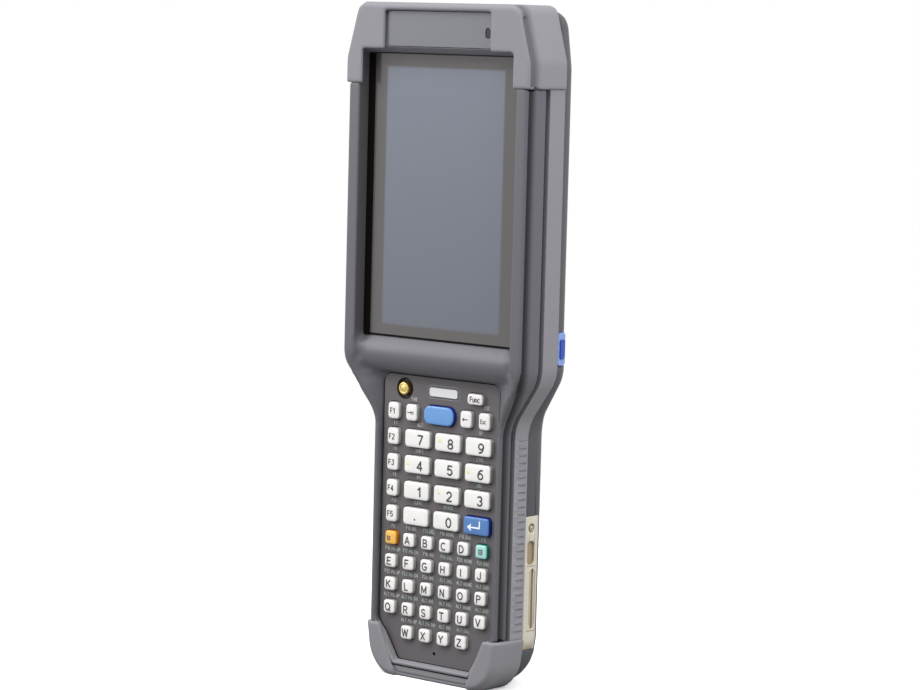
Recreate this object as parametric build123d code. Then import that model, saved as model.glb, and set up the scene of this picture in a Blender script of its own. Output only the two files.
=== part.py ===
from build123d import *
import os

os.makedirs("parts", exist_ok=True)

# Rugged handheld barcode terminal, standing on its foot. Millimetres.
# +Z runs up the terminal, the screen and keys face -Y, the origin is at the middle of the foot.
# Depths (y) are counted from the glass, whose face lies at glass_y.

# heights, from the foot upwards
foot_h = 5.5          # foot to the lower edge of the keypad panel
ridge_h = 12.1        # ridge between keypad and screen
glass_h = 95.6
header_h = 15.8       # above the glass, up to the top of the housing

# widths
glass_w = 68.6
rail_w = 5.4          # rail beside the glass
rim_w = 3.0           # rim beside the keypad

# plan of the housing
head_slant = 5.2      # head narrows towards its top
shoulder_h = 18.6     # over this height
neck_top = 9.7        # neck begins below the glass
neck_bottom = 25.7    # and ends
foot_taper = 2.6      # foot narrows
foot_corner = 13.0    # radius of the foot's corners
side_round = 10.0     # radius where the sides begin to slant
neck_round = 14.0
sole_back = 18.6      # flat sole ends
heel_h = 10.5         # heel curves up to the back
front_slope_top = 7.0     # front steps back to the grip below the glass, from here
front_slope_foot = 27.0   # to here
front_slope_round = 24.0
back_slope_top = 2.0      # back swells to the grip, likewise
back_slope_foot = 26.0
back_slope_round = 30.0
heel_round = 9.0
sole_round = 4.0
back_top_round = 4.5

# dished recess round the keypad
dish_top = 5.2        # mouth above the panel
dish_neck = 14.0      # mouth narrows below the glass, from here
dish_grip = 27.5      # to here
dish_in = 1.2         # mouth is wider than the rim allows
floor_neck = 31.0     # floor reaches full width below the glass
corner_up = 13.0      # cut lower corners of the panel, above its foot
corner_mid_up = 7.6
corner_mid_in = 4.6   # and in from its side
corner_in = 9.4
ridge_foot = 3.3      # ridge stands above the panel
ridge_fold = 9.1
ridge_low = 2.5       # and in front of the glass
ridge_high = 3.6

# depths of the housing, from the face of the glass
rim_round = 1.5
rail_rise = 4.6       # rails stand in front of the glass
grip_front = 0.0      # front of the rim beside the keypad
panel_front = 2.0     # face of the keypad panel
seam_front = 4.9      # front housing ends, seal begins
seal_t = 1.3
band_back_top = 13.8  # back edge of the rubber side band, beside the screen
band_back_grip = 12.9 # the same beside the keypad
back_round = 7.0      # radius of the back's long edges
back_top = 22.0       # back of the housing behind the screen
back_grip = 25.2      # back of the grip and battery

# rubber
bumper_t = 1.1        # bumpers stand out from the housing
bumper_front = 0.6    # and in front of the rails
bumper_leg = 10.3     # height of a top bumper's legs beside the glass
corner_run = 23.3     # half width of the header between the top bumpers
bumper_edge = 1.1     # bevel round the front of the top bumper
boot_edge = 1.9       # and of the boot
valley_front = -4.1   # shallow valley down the side of the top bumper
valley_back = -1.5
valley_d = 0.7
valley_top = 3.0      # ends below the top of the housing
band_slope_top = 10.0     # band narrows towards the grip below the glass, from here
band_slope_foot = 30.0    # to here
band_slope_round = 12.0
band_inset = 1.8      # thickness of the side band in its rebate
band_proud = 0.3
rib_pitch = 2.45
rib_h = 1.3
rib_t = 0.35
rib_count = 26
boot_wrap = 1.2       # the boot lies in front of the rim
strip_h = 2.8         # rubber strip under the keypad, between the corners
boot_h = 17.4         # top edge of the bottom bumper above the foot

# walls, seats and clearances
wall = 2.2
gap = 0.15            # between parts that are assembled
key_gap = 0.35        # round a key in the panel
seat = 0.05           # running clearance behind the panel
panel_t = 1.2
panel_lap = 0.8       # panel reaches behind the rim
glass_t = 1.1
gasket_t = 0.5
module_t = 3.4
module_inset = 6.0    # display lies inside the glass at each side
board_t = 1.0
mat_t = 0.6
chassis_t = 1.2

# keys, rows counted down from the top of the panel
power_row_down = 4.8
control_row_down = 7.8
number_row_down = 8.7
letter_row_down = 8.3
number_rows = 4
letter_rows = 5
letter_columns = 6
keypad_foot = 9.64    # below the last row
key_margin = 3.0      # beside the letters
number_margin = 2.32  # beside the numbers
key_rise = 1.55
key_flange = 0.6
key_travel = 0.6
button_travel = 0.8
letter_pitch_x = 8.08
letter_pitch_z = 7.89
number_pitch_x = 13.48
number_pitch_z = 8.8
key_bevel = 0.35
key_lap = 0.8         # flange reaches behind the panel
letter_key = (5.2, 4.8, 0.7)
number_key = (11.4, 6.2, 0.9)
small_key = (5.2, 5.9, 0.7)
wide_key = (7.0, 3.9, 0.7)
scan_key = (13.4, 6.5, 3.25)
power_d = 4.6

# battery
battery_top = 58.3
battery_bottom = 12.9
battery_gap = 0.2
cover_front = 20.6    # pale case ends, dark cover begins
side_button_z = 115.0
side_button_len = 10.9
side_button_t = 3.6
side_button_y = 16.1
side_button_d = 5.2   # depth of its pocket

# groove along the side of the front housing
groove_front = -3.4
groove_back = -1.5
groove_d = 0.9
header_t = 2.0
plate_sink = 0.8      # header plate lies behind the face of the rails
lens_sink = 0.2       # and the lens behind the plate
header_lip = 1.6      # bumper above the header plate
header_sill = 2.2     # rim between the glass and the header plate
scan_w = 15.0         # half width of the scan window's opening
scan_front = 9.4
scan_back = 17.4
scan_window_sink = 2.4
scan_window_t = 1.2
round_sides = 10      # small round parts are drawn with flats
scan_margin = 1.4     # rubber stands back from the window
seal_inset = 1.9
seal_w = 1.2
rear_inset = 0.4      # rear housing lies inside the front's outline
bay_floor = 12.9
speaker_z = 126.0
speaker_slot_count = 5
speaker_slot_len = 14.0
speaker_slot_t = 1.3
speaker_pitch = 3.0
screw_r = 1.1
screw_head_r = 2.3
screw_head_t = 1.6
screw_sink = 2.6
screw_tip = 2.4       # depth to which the screws reach
screw_inset = 8.2     # in from the side of the head
screw_up = 12.0       # lower pair above the lower edge of the glass
screw_down = 16.0     # upper pair below the top of the housing
post_r = 3.0          # posts round the screws
latch_w = 9.0
latch_h = 10.5
latch_travel = 3.0
latch_front = 21.0
contact_w = 9.0
contact_h = 5.0
contact_t = 2.0
contact_rise = 0.6
dock_w = 11.0
dock_h = 4.5
dock_front = 7.4
dock_back = 13.4
dock_margin = 0.6     # rubber stands back from the contacts
cover_grooves = 6
cover_pitch = 5.0
cover_groove_w = 34.0
board_h = 74.0
chips = ((-14, 18, 14, 14), (10, 20, 12, 10), (-12, 46, 10, 16), (14, 50, 16, 12), (0, 66, 20, 6))
mic_r = 0.55
mic_x = -0.5
power_x = -16.4
status_x = 1.1
status_w = 12.4
status_h = 3.0
led_x = 21.2

# cuts reach past every side of the terminal
far = 4 * glass_w

# worked out from the sizes above
keypad_w = (letter_columns - 1) * letter_pitch_x + letter_key[0] + 2 * key_margin
rows_h = power_row_down + control_row_down + number_row_down + letter_row_down
rows_h += (number_rows - 1) * number_pitch_z + (letter_rows - 1) * letter_pitch_z
keypad_h = rows_h + keypad_foot
letter_first_x = -(letter_columns - 1) / 2 * letter_pitch_x
number_middle_x = keypad_w / 2 - number_margin - number_key[0] / 2 - number_pitch_x
glass_y = (rail_rise + bumper_front - back_grip) / 2
keypad_top = foot_h + keypad_h
glass_bottom = keypad_top + ridge_h
glass_top = glass_bottom + glass_h
screen_z = glass_bottom + glass_h / 2
top_z = glass_top + header_h
head_x = glass_w / 2 + rail_w
grip_x = keypad_w / 2 + rim_w
module_w = glass_w - 2 * module_inset
module_bottom = glass_bottom + 2.6
module_top = glass_top - 2.6
power_row_z = keypad_top - power_row_down
control_row_z = power_row_z - control_row_down
number_row_z = control_row_z - number_row_down
letter_row_z = number_row_z - (number_rows - 1) * number_pitch_z - letter_row_down
latch_z = battery_top + battery_gap
latch_top = latch_z + latch_h + latch_travel + battery_gap
seam_back = seam_front + seal_t
chassis_back = seam_back + chassis_t
screw_x = head_x - screw_inset
screw_seat = back_top - screw_sink
contact_z = battery_top - 9.0
led_z = glass_top + 7.3
status_z = power_row_z - 0.1
mic_z = foot_h + 3.8
parts = {}


def keep(name, shape):
    """File a finished piece under its node name."""
    solids = shape.solids() if hasattr(shape, "solids") else ShapeList(shape)
    parts[name] = solids[0] if len(solids) == 1 else Compound(children=list(solids))
    return shape


def y_at(depth):
    return glass_y + depth


def slab(face, front, back):
    """Extrude a face drawn in x and z from one depth to another."""
    return extrude(Plane.XZ.offset(-y_at(back)) * face, back - front)


def side_slab(face, half_width):
    """Extrude a face drawn in y and z to both sides of the middle."""
    return extrude(Plane.YZ * face, half_width, both=True)


def mirrored(half, radii):
    """Closed face from the points of its +x half, top to bottom, with a radius for each."""
    points = half + [(-x, z) for x, z in reversed(half)]
    return make_face(FilletPolyline(*points, radius=radii + radii[::-1], close=True).edges())


def closed(points, radii):
    return make_face(FilletPolyline(*points, radius=radii, close=True).edges())


def box(x0, x1, front, back, z0, z1):
    size = (x1 - x0, back - front, z1 - z0)
    centre = ((x0 + x1) / 2, y_at((front + back) / 2), (z0 + z1) / 2)
    return Pos(*centre) * Box(*size)


def both_sides(shape):
    return shape, mirror(shape, Plane.YZ)


def between(z0, z1):
    """Everything between two heights."""
    return box(-far, far, -far, far, z0, z1)


def outline(grow=0.0, top_r=4.0, foot_r=foot_corner, slant=head_slant, side_r=side_round, neck_r=neck_round):
    """The terminal seen from the front: wide head, neck, narrow grip, tapered foot."""
    head = head_x + grow
    grip = grip_x + grow
    top = top_z + grow
    half = [
        (head - slant, top),
        (head, top - shoulder_h),
        (head, glass_bottom - neck_top),
        (grip, glass_bottom - neck_bottom),
        (grip, boot_h - 1.0),
        (grip - foot_taper, -grow),
    ]
    return mirrored(half, [top_r, side_r, neck_r, neck_r, side_r, foot_r])


def plate_outline(grow):
    """The same with plain corners, for sheet metal inside."""
    return outline(grow, top_r=0, foot_r=0, side_r=0, neck_r=0)


def ring(outer, inner, front, back):
    """Band that follows the terminal's outline, between two sizes of it."""
    return slab(outline(outer), front, back) - slab(outline(inner), front, back)


def front_profile():
    """Side view of what lies behind the front surface: rails, slope of the neck, grip."""
    rails = y_at(-rail_rise)
    rim = y_at(grip_front)
    back = y_at(back_grip)
    points = [
        (rails, top_z + 5),
        (rails, glass_bottom - front_slope_top),
        (rim, glass_bottom - front_slope_foot),
        (rim, -5),
        (back, -5),
        (back, top_z + 5),
    ]
    return closed(points, [0, front_slope_round, front_slope_round, 0, 0, 0])


def back_profile():
    """Side view of what lies before the back surface: head, slope, grip, heel."""
    head = y_at(back_top)
    grip = y_at(back_grip)
    front = y_at(-rail_rise)
    points = [
        (head, top_z),
        (head, glass_bottom - back_slope_top),
        (grip, glass_bottom - back_slope_foot),
        (grip, heel_h),
        (y_at(sole_back), 0),
        (front, 0),
        (front, top_z),
    ]
    slope = back_slope_round
    return closed(points, [back_top_round, slope, slope, heel_round, sole_round, 0, 0])


def keypad_face(grow=0.0):
    """Outline of the keypad panel, cut in at the lower corners beside the bumper."""
    side = keypad_w / 2 + grow
    half = [
        (side, keypad_top + grow),
        (side, foot_h + corner_up),
        (side - corner_mid_in, foot_h + corner_mid_up),
        (side - corner_in, foot_h - grow),
    ]
    return mirrored(half, [3.0, 3.0, 6.0, 1.5])


def dish_face():
    """Mouth of the dished recess round the keypad, following the neck."""
    head = head_x - rim_w
    grip = grip_x - rim_w + dish_in
    half = [
        (head, keypad_top + dish_top),
        (head, glass_bottom - dish_neck),
        (grip, glass_bottom - dish_grip),
        (grip, foot_h + corner_up),
        (grip - corner_mid_in, foot_h + corner_mid_up),
        (grip - corner_in, foot_h - 1.0),
    ]
    return mirrored(half, [2.0, 10.0, 10.0, 3.0, 6.0, 1.5])


def dish_floor():
    side = keypad_w / 2
    half = [
        (side - 2.5, keypad_top),
        (side - 0.3, keypad_top - 2.5),
        (side, glass_bottom - floor_neck),
        (side, foot_h + corner_up),
        (side - corner_mid_in, foot_h + corner_mid_up),
        (side - corner_in, foot_h),
    ]
    return mirrored(half, [1.0, 1.0, 1.0, 3.0, 6.0, 1.5])


def ridge_cut():
    """Side view of the space in front of glass and ridge."""
    points = [
        (y_at(-rail_rise) - 2, keypad_top + ridge_foot),
        (y_at(-ridge_low), keypad_top + ridge_foot),
        (y_at(-ridge_high), keypad_top + ridge_fold),
        (y_at(0), glass_bottom),
        (y_at(0), glass_top),
        (y_at(-rail_rise), glass_top + header_sill),
        (y_at(-rail_rise) - 2, glass_top + header_sill),
    ]
    return closed(points, [0, 1.5, 1.2, 0, 0, 0, 0])


def rim_edges(body, depth_limit):
    """Edges of a solid that lie in front of a depth."""
    return body.edges().filter_by(lambda edge: edge.center().Y < y_at(depth_limit))


def top_bumper_space():
    """Room the top bumper takes: a cap over the head with legs beside the glass."""
    leg_z = glass_top - bumper_leg
    cap = slab(outline(bumper_t), -rail_rise - bumper_front, band_back_top)
    cap = chamfer(rim_edges(cap, -rail_rise), bumper_edge)
    cap &= between(leg_z, far)
    inside = slab(outline(-band_inset), bumper_front - rail_rise, band_back_top)
    header = box(-corner_run, corner_run, -far, seam_front, leg_z, top_z - header_lip)
    window = box(-glass_w / 2 + 1.2, glass_w / 2 - 1.2, -far, 0, leg_z, glass_top + 1.2)
    scanner = box(-scan_w, scan_w, scan_front - scan_margin, far, glass_top, far)
    valley = ring(bumper_t + 1, bumper_t - valley_d, valley_front, valley_back)
    valley &= between(leg_z, top_z - valley_top)
    return cap - inside - header - window - scanner - valley


def half_of(side):
    """Everything on one side of the middle."""
    return box(min(0, side * far), max(0, side * far), -far, far, -far, far)


def side_band_space(side):
    """Rubber side band from the top bumper down to the bottom bumper."""
    front = seam_back
    back = closed(
        [
            (y_at(front), top_z),
            (y_at(band_back_top), top_z),
            (y_at(band_back_top), glass_bottom - band_slope_top),
            (y_at(band_back_grip), glass_bottom - band_slope_foot),
            (y_at(band_back_grip), 0),
            (y_at(front), 0),
        ],
        [0, 0, band_slope_round, band_slope_round, 0, 0],
    )
    band = ring(band_proud, -band_inset, front, band_back_top)
    band = band & side_slab(back, far) & half_of(side)
    return band & between(boot_h, glass_top - bumper_leg)


def bottom_bumper_space():
    """Rubber boot round the foot, with a slanted inner edge on each side of the keypad."""
    boot = slab(outline(bumper_t), grip_front - boot_wrap, band_back_grip)
    boot = chamfer(rim_edges(boot, grip_front), boot_edge)
    boot &= between(0, boot_h)
    inside = slab(outline(-band_inset), grip_front, band_back_grip)
    side = keypad_w / 2
    window = mirrored(
        [(side - 1.4, boot_h + 3), (side - 4.4, boot_h - 4.0), (side - 9.2, strip_h)],
        [0, 2.5, 0.8],
    )
    boot -= slab(window, -far, seam_front)
    boot -= dock_pocket(dock_margin)
    boot -= box(-side + 9.6, side - 9.6, -far, grip_front + 0.2, -far, foot_h)
    return boot - inside


def front_housing():
    """Moulded front with rails, ridge, dished keypad recess and a groove along its side."""
    body = slab(outline(), -rail_rise, seam_front) & side_slab(front_profile(), far)
    body = fillet(rim_edges(body, 0.5), rim_round)
    rails = glass_w / 2 + gap
    body -= side_slab(ridge_cut(), rails)
    pocket = glass_t + gasket_t
    body -= box(-rails, rails, -far, pocket, glass_bottom - gap, glass_top + gap)
    body -= box(-module_w / 2 - gap, module_w / 2 + gap, 0, far, module_bottom - gap, module_top + gap)
    mouth = Plane.XZ.offset(-y_at(-rail_rise)) * dish_face()
    floor = Plane.XZ.offset(-y_at(panel_front)) * dish_floor()
    body -= loft([mouth, floor], ruled=True)
    body -= slab(keypad_face(panel_lap + gap), panel_front, far)
    groove = ring(1, -groove_d, groove_front, groove_back)
    body -= groove & between(boot_h, glass_top - bumper_leg)
    body -= header_recess()
    body -= top_bumper_space()
    body -= bottom_bumper_space()
    for post in rods(post_r, seam_front - 0.5, seam_back):
        body += post
    for hole in rods(screw_r + seat, screw_tip - gap, seam_back):
        body -= hole
    return body


def header_recess():
    back = header_t - rail_rise
    return box(-corner_run, corner_run, -far, back, glass_top + header_sill, top_z - header_lip)


def rear_form():
    """Outside of the rear housing with the battery in place."""
    plan = outline(-rear_inset, top_r=6.0, foot_r=foot_corner - 1, slant=2.6)
    body = slab(plan, seam_back, back_grip) & side_slab(back_profile(), far)

    def on_rim(edge):
        middle = edge.center()
        behind_band = middle.Y > y_at(band_back_top) or middle.Z < foot_h
        return abs(middle.X) > 18 and behind_band and middle.Y > y_at(seam_back + 2)

    return fillet(body.edges().filter_by(on_rim), back_round)


def rear_rooms():
    """Hollows of the back shell, with a post left standing round each screw."""
    lining = wall + band_inset
    head = head_x - lining - 2
    grip = grip_x - lining - 1
    deep = back_top - wall
    plate = slab(plate_outline(-lining), seam_back, chassis_back)
    plate &= between(battery_bottom - 6, top_z - lining)
    boards = box(-head, head, chassis_back, deep, glass_bottom, top_z - 10)
    for x, z in screw_places():
        boards -= box(x - post_r, x + post_r, chassis_back, deep, z - post_r, z + post_r)
    grip_boards = box(-grip, grip, chassis_back, bay_floor - wall, battery_bottom, glass_bottom)
    neck = box(-grip, grip, chassis_back, deep, latch_top + wall, glass_bottom)
    scanner = box(-scan_w + wall, scan_w - wall, chassis_back, deep, glass_top, top_z - scan_window_sink)
    return plate + boards + grip_boards + neck + scanner


def rear_housing(form):
    """Back shell: room for the boards, open bay for the battery, foot below it."""
    body = form - box(-far, far, bay_floor, far, battery_bottom, battery_top)
    body -= rear_rooms()
    body -= box(-scan_w + 1, scan_w - 1, scan_front, scan_back, top_z - scan_window_sink, far)
    for place in speaker_slots():
        body -= place
    for hole in rods(screw_r + gap, chassis_back, back_top):
        body -= hole
    for recess in rods(screw_head_r + gap, screw_seat, back_grip):
        body -= recess
    body -= latch_pocket()
    body -= box(-contact_w, contact_w, bay_floor - contact_t, bay_floor, contact_z, contact_z + contact_h)
    body -= dock_pocket()
    for pocket in both_sides(button_pocket()):
        body -= pocket
    for side in (1, -1):
        body -= side_band_space(side)
    body -= beside_bumper()
    body -= top_bumper_space()
    body -= bottom_bumper_space()
    return body


def beside_bumper():
    """Where the wider back would stand out beside the top bumper."""
    front = seam_front
    space = box(-far, far, front, band_back_top, glass_top - bumper_leg, far)
    return space - slab(outline(bumper_t - rear_inset), front, band_back_top)


def dock_pocket(grow=0.0):
    """Pocket in the foot for the charging contacts."""
    side = dock_w + grow
    return box(-side, side, dock_front - grow, dock_back + grow, -far, dock_h)


def speaker_slots():
    """Row of slots through the back, over the loudspeaker."""
    for i in range(speaker_slot_count):
        z = speaker_z + (i - (speaker_slot_count - 1) / 2) * speaker_pitch
        slot = plate_face(speaker_slot_len, speaker_slot_t, 0.3 * speaker_slot_t)
        yield slab(Pos(0, z) * slot, back_top - 2 * wall, back_top + 1)


def screw_places():
    for z in (top_z - screw_down, glass_bottom + screw_up):
        yield screw_x, z
        yield -screw_x, z


def bore(x, z, radius, front, back):
    return slab(Pos(x, z) * RegularPolygon(radius, round_sides), front, back)


def rods(radius, front, back):
    """A rod on the axis of each screw, to add as a post or cut as a hole."""
    return [bore(x, z, radius, front, back) for x, z in screw_places()]


def screws():
    """Flat-headed screws sunk in the back, long enough to reach the front housing."""
    heads = rods(screw_head_r, screw_seat, screw_seat + screw_head_t)
    shanks = rods(screw_r, screw_tip, screw_seat)
    return [head + shank for head, shank in zip(heads, shanks)]


def latch_pocket():
    """Slot in the back above the battery in which the latch slides."""
    return box(-latch_w - battery_gap, latch_w + battery_gap, latch_front, far, battery_top, latch_top)


def latch():
    """Sliding thumb piece with a finger grip and a tongue over the battery's top edge."""
    plate = box(-latch_w, latch_w, latch_front + gap, back_grip - 1.4, latch_z, latch_z + latch_h)
    plate = chamfer(plate.edges().filter_by(Axis.Y), 1.0)
    grip = plate
    for i in range(4):
        z = latch_z + 2.6 + i * 1.9
        grip += box(-latch_w + 2.5, latch_w - 2.5, back_grip - 1.4, back_grip - 0.8, z, z + 0.9)
    return grip


def button_pocket():
    """Pocket for a side button, open to the side."""
    length = side_button_len / 2 + gap
    thick = side_button_t / 2 + gap
    front, back = side_button_y - thick, side_button_y + thick
    return box(head_x - side_button_d, far, front, back, side_button_z - length, side_button_z + length)


def side_button():
    """Long narrow button with a raised thumb pad, pressed inwards."""
    length = side_button_len / 2
    thick = side_button_t / 2
    inner = head_x - side_button_d + button_travel + gap
    face = head_x - rear_inset + 0.3
    front, back = side_button_y - thick, side_button_y + thick
    body = box(inner, face, front, back, side_button_z - length, side_button_z + length)
    body = chamfer(body.edges().filter_by(Axis.X), 0.7)
    pad = box(face, face + 0.6, front + 0.7, back - 0.7, side_button_z - 3.2, side_button_z + 3.2)
    return body + chamfer(pad.edges().filter_by(Axis.X), 0.5)


def battery_block(form):
    fit = battery_gap
    return form & box(-far, far, bay_floor + fit, far, battery_bottom + fit, battery_top - fit)


def battery_pack(form):
    """Pale case: boss, recess and long groove in each flank, contacts on the inside."""
    body = battery_block(form) & box(-far, far, 0, cover_front, 0, far)
    middle = (bay_floor + cover_front) / 2
    flank = grip_x - rear_inset
    boss = Pos(y_at(middle), battery_top - 4.2) * RegularPolygon(1.7, round_sides)
    boss = Plane.YZ.offset(flank - 0.6) * boss
    cuts = [
        extrude(boss, 2),
        box(flank - 1.0, far, middle - 1.9, middle + 1.9, battery_top - 16.5, battery_top - 8.5),
        box(flank - 0.8, far, middle + 0.3, middle + 1.9, battery_bottom + 7, battery_top - 18),
    ]
    cuts[1] = chamfer(cuts[1].edges().filter_by(Axis.X), 1.0)
    cuts[2] = chamfer(cuts[2].edges().filter_by(Axis.X), 0.5)
    for cut in cuts:
        for piece in both_sides(cut):
            body -= piece
    side, back = contact_w + 1, bay_floor + contact_rise + 0.5
    return body - box(-side, side, 0, back, contact_z - 1, contact_z + contact_h + 1)


def battery_cover(form):
    """Dark outer skin of the battery with finger ribs along its back."""
    body = battery_block(form) & box(-far, far, cover_front, far, 0, far)
    for i in range(cover_grooves):
        z = battery_bottom + 9 + i * cover_pitch
        body -= slab(Pos(0, z) * plate_face(cover_groove_w, 1.4, 0.4), back_grip - 0.7, back_grip + 1)
    return body


def contact_block():
    """Block in the bay floor with sprung pins for the battery."""
    side = contact_w - seat
    low, high = contact_z + seat, contact_z + contact_h - seat
    body = box(-side, side, bay_floor - contact_t, bay_floor, low, high)
    tip = bay_floor + contact_rise
    for i in range(5):
        x = (i - 2) * 3.2
        body += box(x - 0.8, x + 0.8, bay_floor - 0.5, tip, low + 1.2, high - 1.2)
    return body


def plate_face(width, height, corner):
    """Rectangle with its corners cut, or with round ends where the corner is half the height."""
    if corner > 0.45 * height:
        return SlotOverall(width, height)
    face = Rectangle(width, height)
    return chamfer(face.vertices(), corner)


def key_cap(size, x, z):
    """Keycap with cut corners, a bevelled top and a flange behind the panel."""
    width, height, corner = size
    front, stop = panel_front - key_rise, panel_front + panel_t + seat
    cap = slab(Pos(x, z) * plate_face(width, height, corner), front, stop + key_flange)
    cap = chamfer(rim_edges(cap, front + 0.1), key_bevel)
    flange = Pos(x, z) * Rectangle(width + 2 * key_lap, height + 2 * key_lap)
    return cap + slab(flange, stop, stop + key_flange)


def key_table():
    """Every key: node name, size, x and z of its middle."""
    table = {}
    for i in range(5):
        row_z = number_row_z - (i - 1) * number_pitch_z
        z = control_row_z if i == 0 else row_z
        table[f"key_f{i + 1}"] = [(small_key, letter_first_x, z)]
    table["key_tab"] = [(small_key, letter_first_x + letter_pitch_x, control_row_z)]
    table["key_scan"] = [(scan_key, 0.0, control_row_z)]
    table["key_backspace"] = [(small_key, -letter_first_x - letter_pitch_x, control_row_z)]
    table["key_escape"] = [(small_key, -letter_first_x, control_row_z)]
    table["key_function"] = [(wide_key, 15.9, power_row_z - 0.8)]
    rows = (("7", "8", "9"), ("4", "5", "6"), ("1", "2", "3"), ("point", "0", "enter"))
    for r, row in enumerate(rows):
        for c, name in enumerate(row):
            x = number_middle_x + (c - 1) * number_pitch_x
            table[f"key_{name}"] = [(number_key, x, number_row_z - r * number_pitch_z)]
    inner = range(1, letter_columns - 1)
    letters = {
        "key_orange": (0, [0]),
        "key_letters_a_to_d": (0, inner),
        "key_green": (0, [letter_columns - 1]),
        "key_letters_e_to_j": (1, range(letter_columns)),
        "key_letters_k_to_p": (2, range(letter_columns)),
        "key_letters_q_to_v": (3, range(letter_columns)),
        "key_letters_w_to_z": (letter_rows - 1, inner),
    }
    for name, (row, columns) in letters.items():
        z = letter_row_z - row * letter_pitch_z
        table[name] = [(letter_key, letter_first_x + c * letter_pitch_x, z) for c in columns]
    return table


def power_button():
    back = panel_front + panel_t
    cap = bore(power_x, power_row_z, power_d / 2, panel_front - 1.0, back + seat + key_flange)
    cap = chamfer(rim_edges(cap, panel_front - 0.9), 0.5)
    return cap + bore(power_x, power_row_z, power_d / 2 + 1.0, back + seat, back + seat + key_flange)


def keypad_panel():
    """Thin moulded panel with a hole for every key and a dished ring round the power button."""
    panel = slab(keypad_face(panel_lap), panel_front, panel_front + panel_t)
    holes = Sketch()
    for caps in key_table().values():
        for (width, height, corner), x, z in caps:
            hole = Rectangle(width + 2 * key_gap, height + 2 * key_gap)
            if corner > height / 3:
                hole = plate_face(width + 2 * key_gap, height + 2 * key_gap, corner + key_gap)
            holes += Pos(x, z) * hole
    holes += Pos(power_x, power_row_z) * RegularPolygon(power_d / 2 + key_gap, round_sides)
    holes += Pos(status_x, status_z) * plate_face(status_w, status_h, 0.5)
    holes += Pos(mic_x, mic_z) * RegularPolygon(mic_r, round_sides)
    panel -= slab(holes, panel_front - 1, panel_front + panel_t + 1)
    mouth = Pos(power_x, power_row_z) * RegularPolygon(power_d / 2 + 1.1, round_sides)
    return panel - slab(mouth, panel_front - 1, panel_front + 0.7)


def status_window():
    """White light window in the panel, with a lip behind it."""
    back = panel_front + panel_t
    place = Pos(status_x, status_z)
    window = slab(place * plate_face(status_w - 0.1, status_h - 0.1, 0.5), panel_front - 0.3, back + 0.6)
    return window + slab(place * Rectangle(status_w + 1.6, status_h + 1.4), back, back + 0.6)


def side_band(side):
    """Rubber band with grip ribs along the neck and grip."""
    band = side_band_space(side)
    front = seam_back
    skin = ring(band_proud + rib_t, band_proud - 0.2, front + 0.6, band_back_grip - 0.6)
    skin &= half_of(side)
    for i in range(rib_count):
        z = boot_h + 2.2 + i * rib_pitch
        band += skin & between(z, z + rib_h)
    return band


def housing_seal():
    return ring(-seal_inset, -seal_inset - seal_w, seam_front, seam_back)


def touch_glass():
    pane = Pos(0, screen_z) * plate_face(glass_w, glass_h, 0.8)
    body = slab(pane, 0, glass_t)
    return chamfer(rim_edges(body, 0.05), 0.25)


def display_gasket():
    width, height = module_w, module_top - module_bottom
    frame = Rectangle(glass_w, glass_h) - Rectangle(width + 2 * gap, height + 2 * gap)
    return slab(Pos(0, screen_z) * frame, glass_t, glass_t + gasket_t)


def display_module():
    """Display: backlight tray with the panel in front and a driver ledge below."""
    side, back = module_w / 2, glass_t + module_t
    tray = box(-side, side, glass_t, back, module_bottom, module_top)
    return tray - box(4 - side, side - 4, back - 1, back, 0, module_bottom + 4)


def header_plate():
    width = 2 * corner_run - 2 * gap
    z0, z1 = glass_top + header_sill + gap, top_z - header_lip - gap
    plate = Pos(0, (z0 + z1) / 2) * plate_face(width, z1 - z0, 0.4)
    body = slab(plate, plate_sink - rail_rise, header_t - rail_rise)
    return body - slab(led_slot(gap), -far, far)


def led_slot(grow=0.0):
    return Pos(led_x, led_z) * Rot(0, 0, 90) * SlotOverall(3.2 + 2 * grow, 1.9 + 2 * grow)


def chassis():
    """Metal plate between display and boards, with slots that lighten it."""
    front = seam_back
    plate = slab(plate_outline(-wall - band_inset - gap), front, front + chassis_t)
    plate &= between(battery_bottom - 6 + gap, top_z - wall - band_inset - gap)
    for i in range(4):
        z = glass_bottom + 16 + i * 20
        for x in (-16, 16):
            plate -= slab(Pos(x, z) * Rectangle(18, 12), front - 1, front + 3)
    for i in range(5):
        plate -= slab(Pos(0, battery_bottom + 6 + i * 15) * Rectangle(24, 8), front - 1, front + 3)
    for hole in rods(screw_r + gap, seam_front, chassis_back + 1):
        plate -= hole
    return plate


def main_board():
    """Main circuit board with its chips."""
    front = chassis_back
    half = screw_x - post_r - gap
    back = front + board_t
    board = box(-half, half, front, back, glass_bottom + 1, glass_bottom + board_h)
    for x, up, w, h in chips:
        z = glass_bottom + up
        board += box(x - w / 2, x + w / 2, back, back + 1.4, z - h / 2, z + h / 2)
    return board


def scan_engine():
    """Imager block on the chassis, close under the window, with lens and lamp looking up."""
    top = top_z - scan_window_sink - 2 * gap
    middle = y_at((scan_front + scan_back) / 2)
    body = box(-9, 9, chassis_back, scan_back - 0.8, top - 11.2, top - 1.2)
    for x, radius, sink in ((-3.5, 2.6, 0.0), (4.5, 1.8, 0.4)):
        eye = Plane.XY.offset(top - 2) * Pos(x, middle) * RegularPolygon(radius, round_sides)
        body += extrude(eye, 2 - sink)
    return body


def scan_window():
    half = scan_w - 1 - gap
    sill = top_z - scan_window_sink
    return box(-half, half, scan_front + gap, scan_back - gap, sill, sill + scan_window_t)


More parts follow.
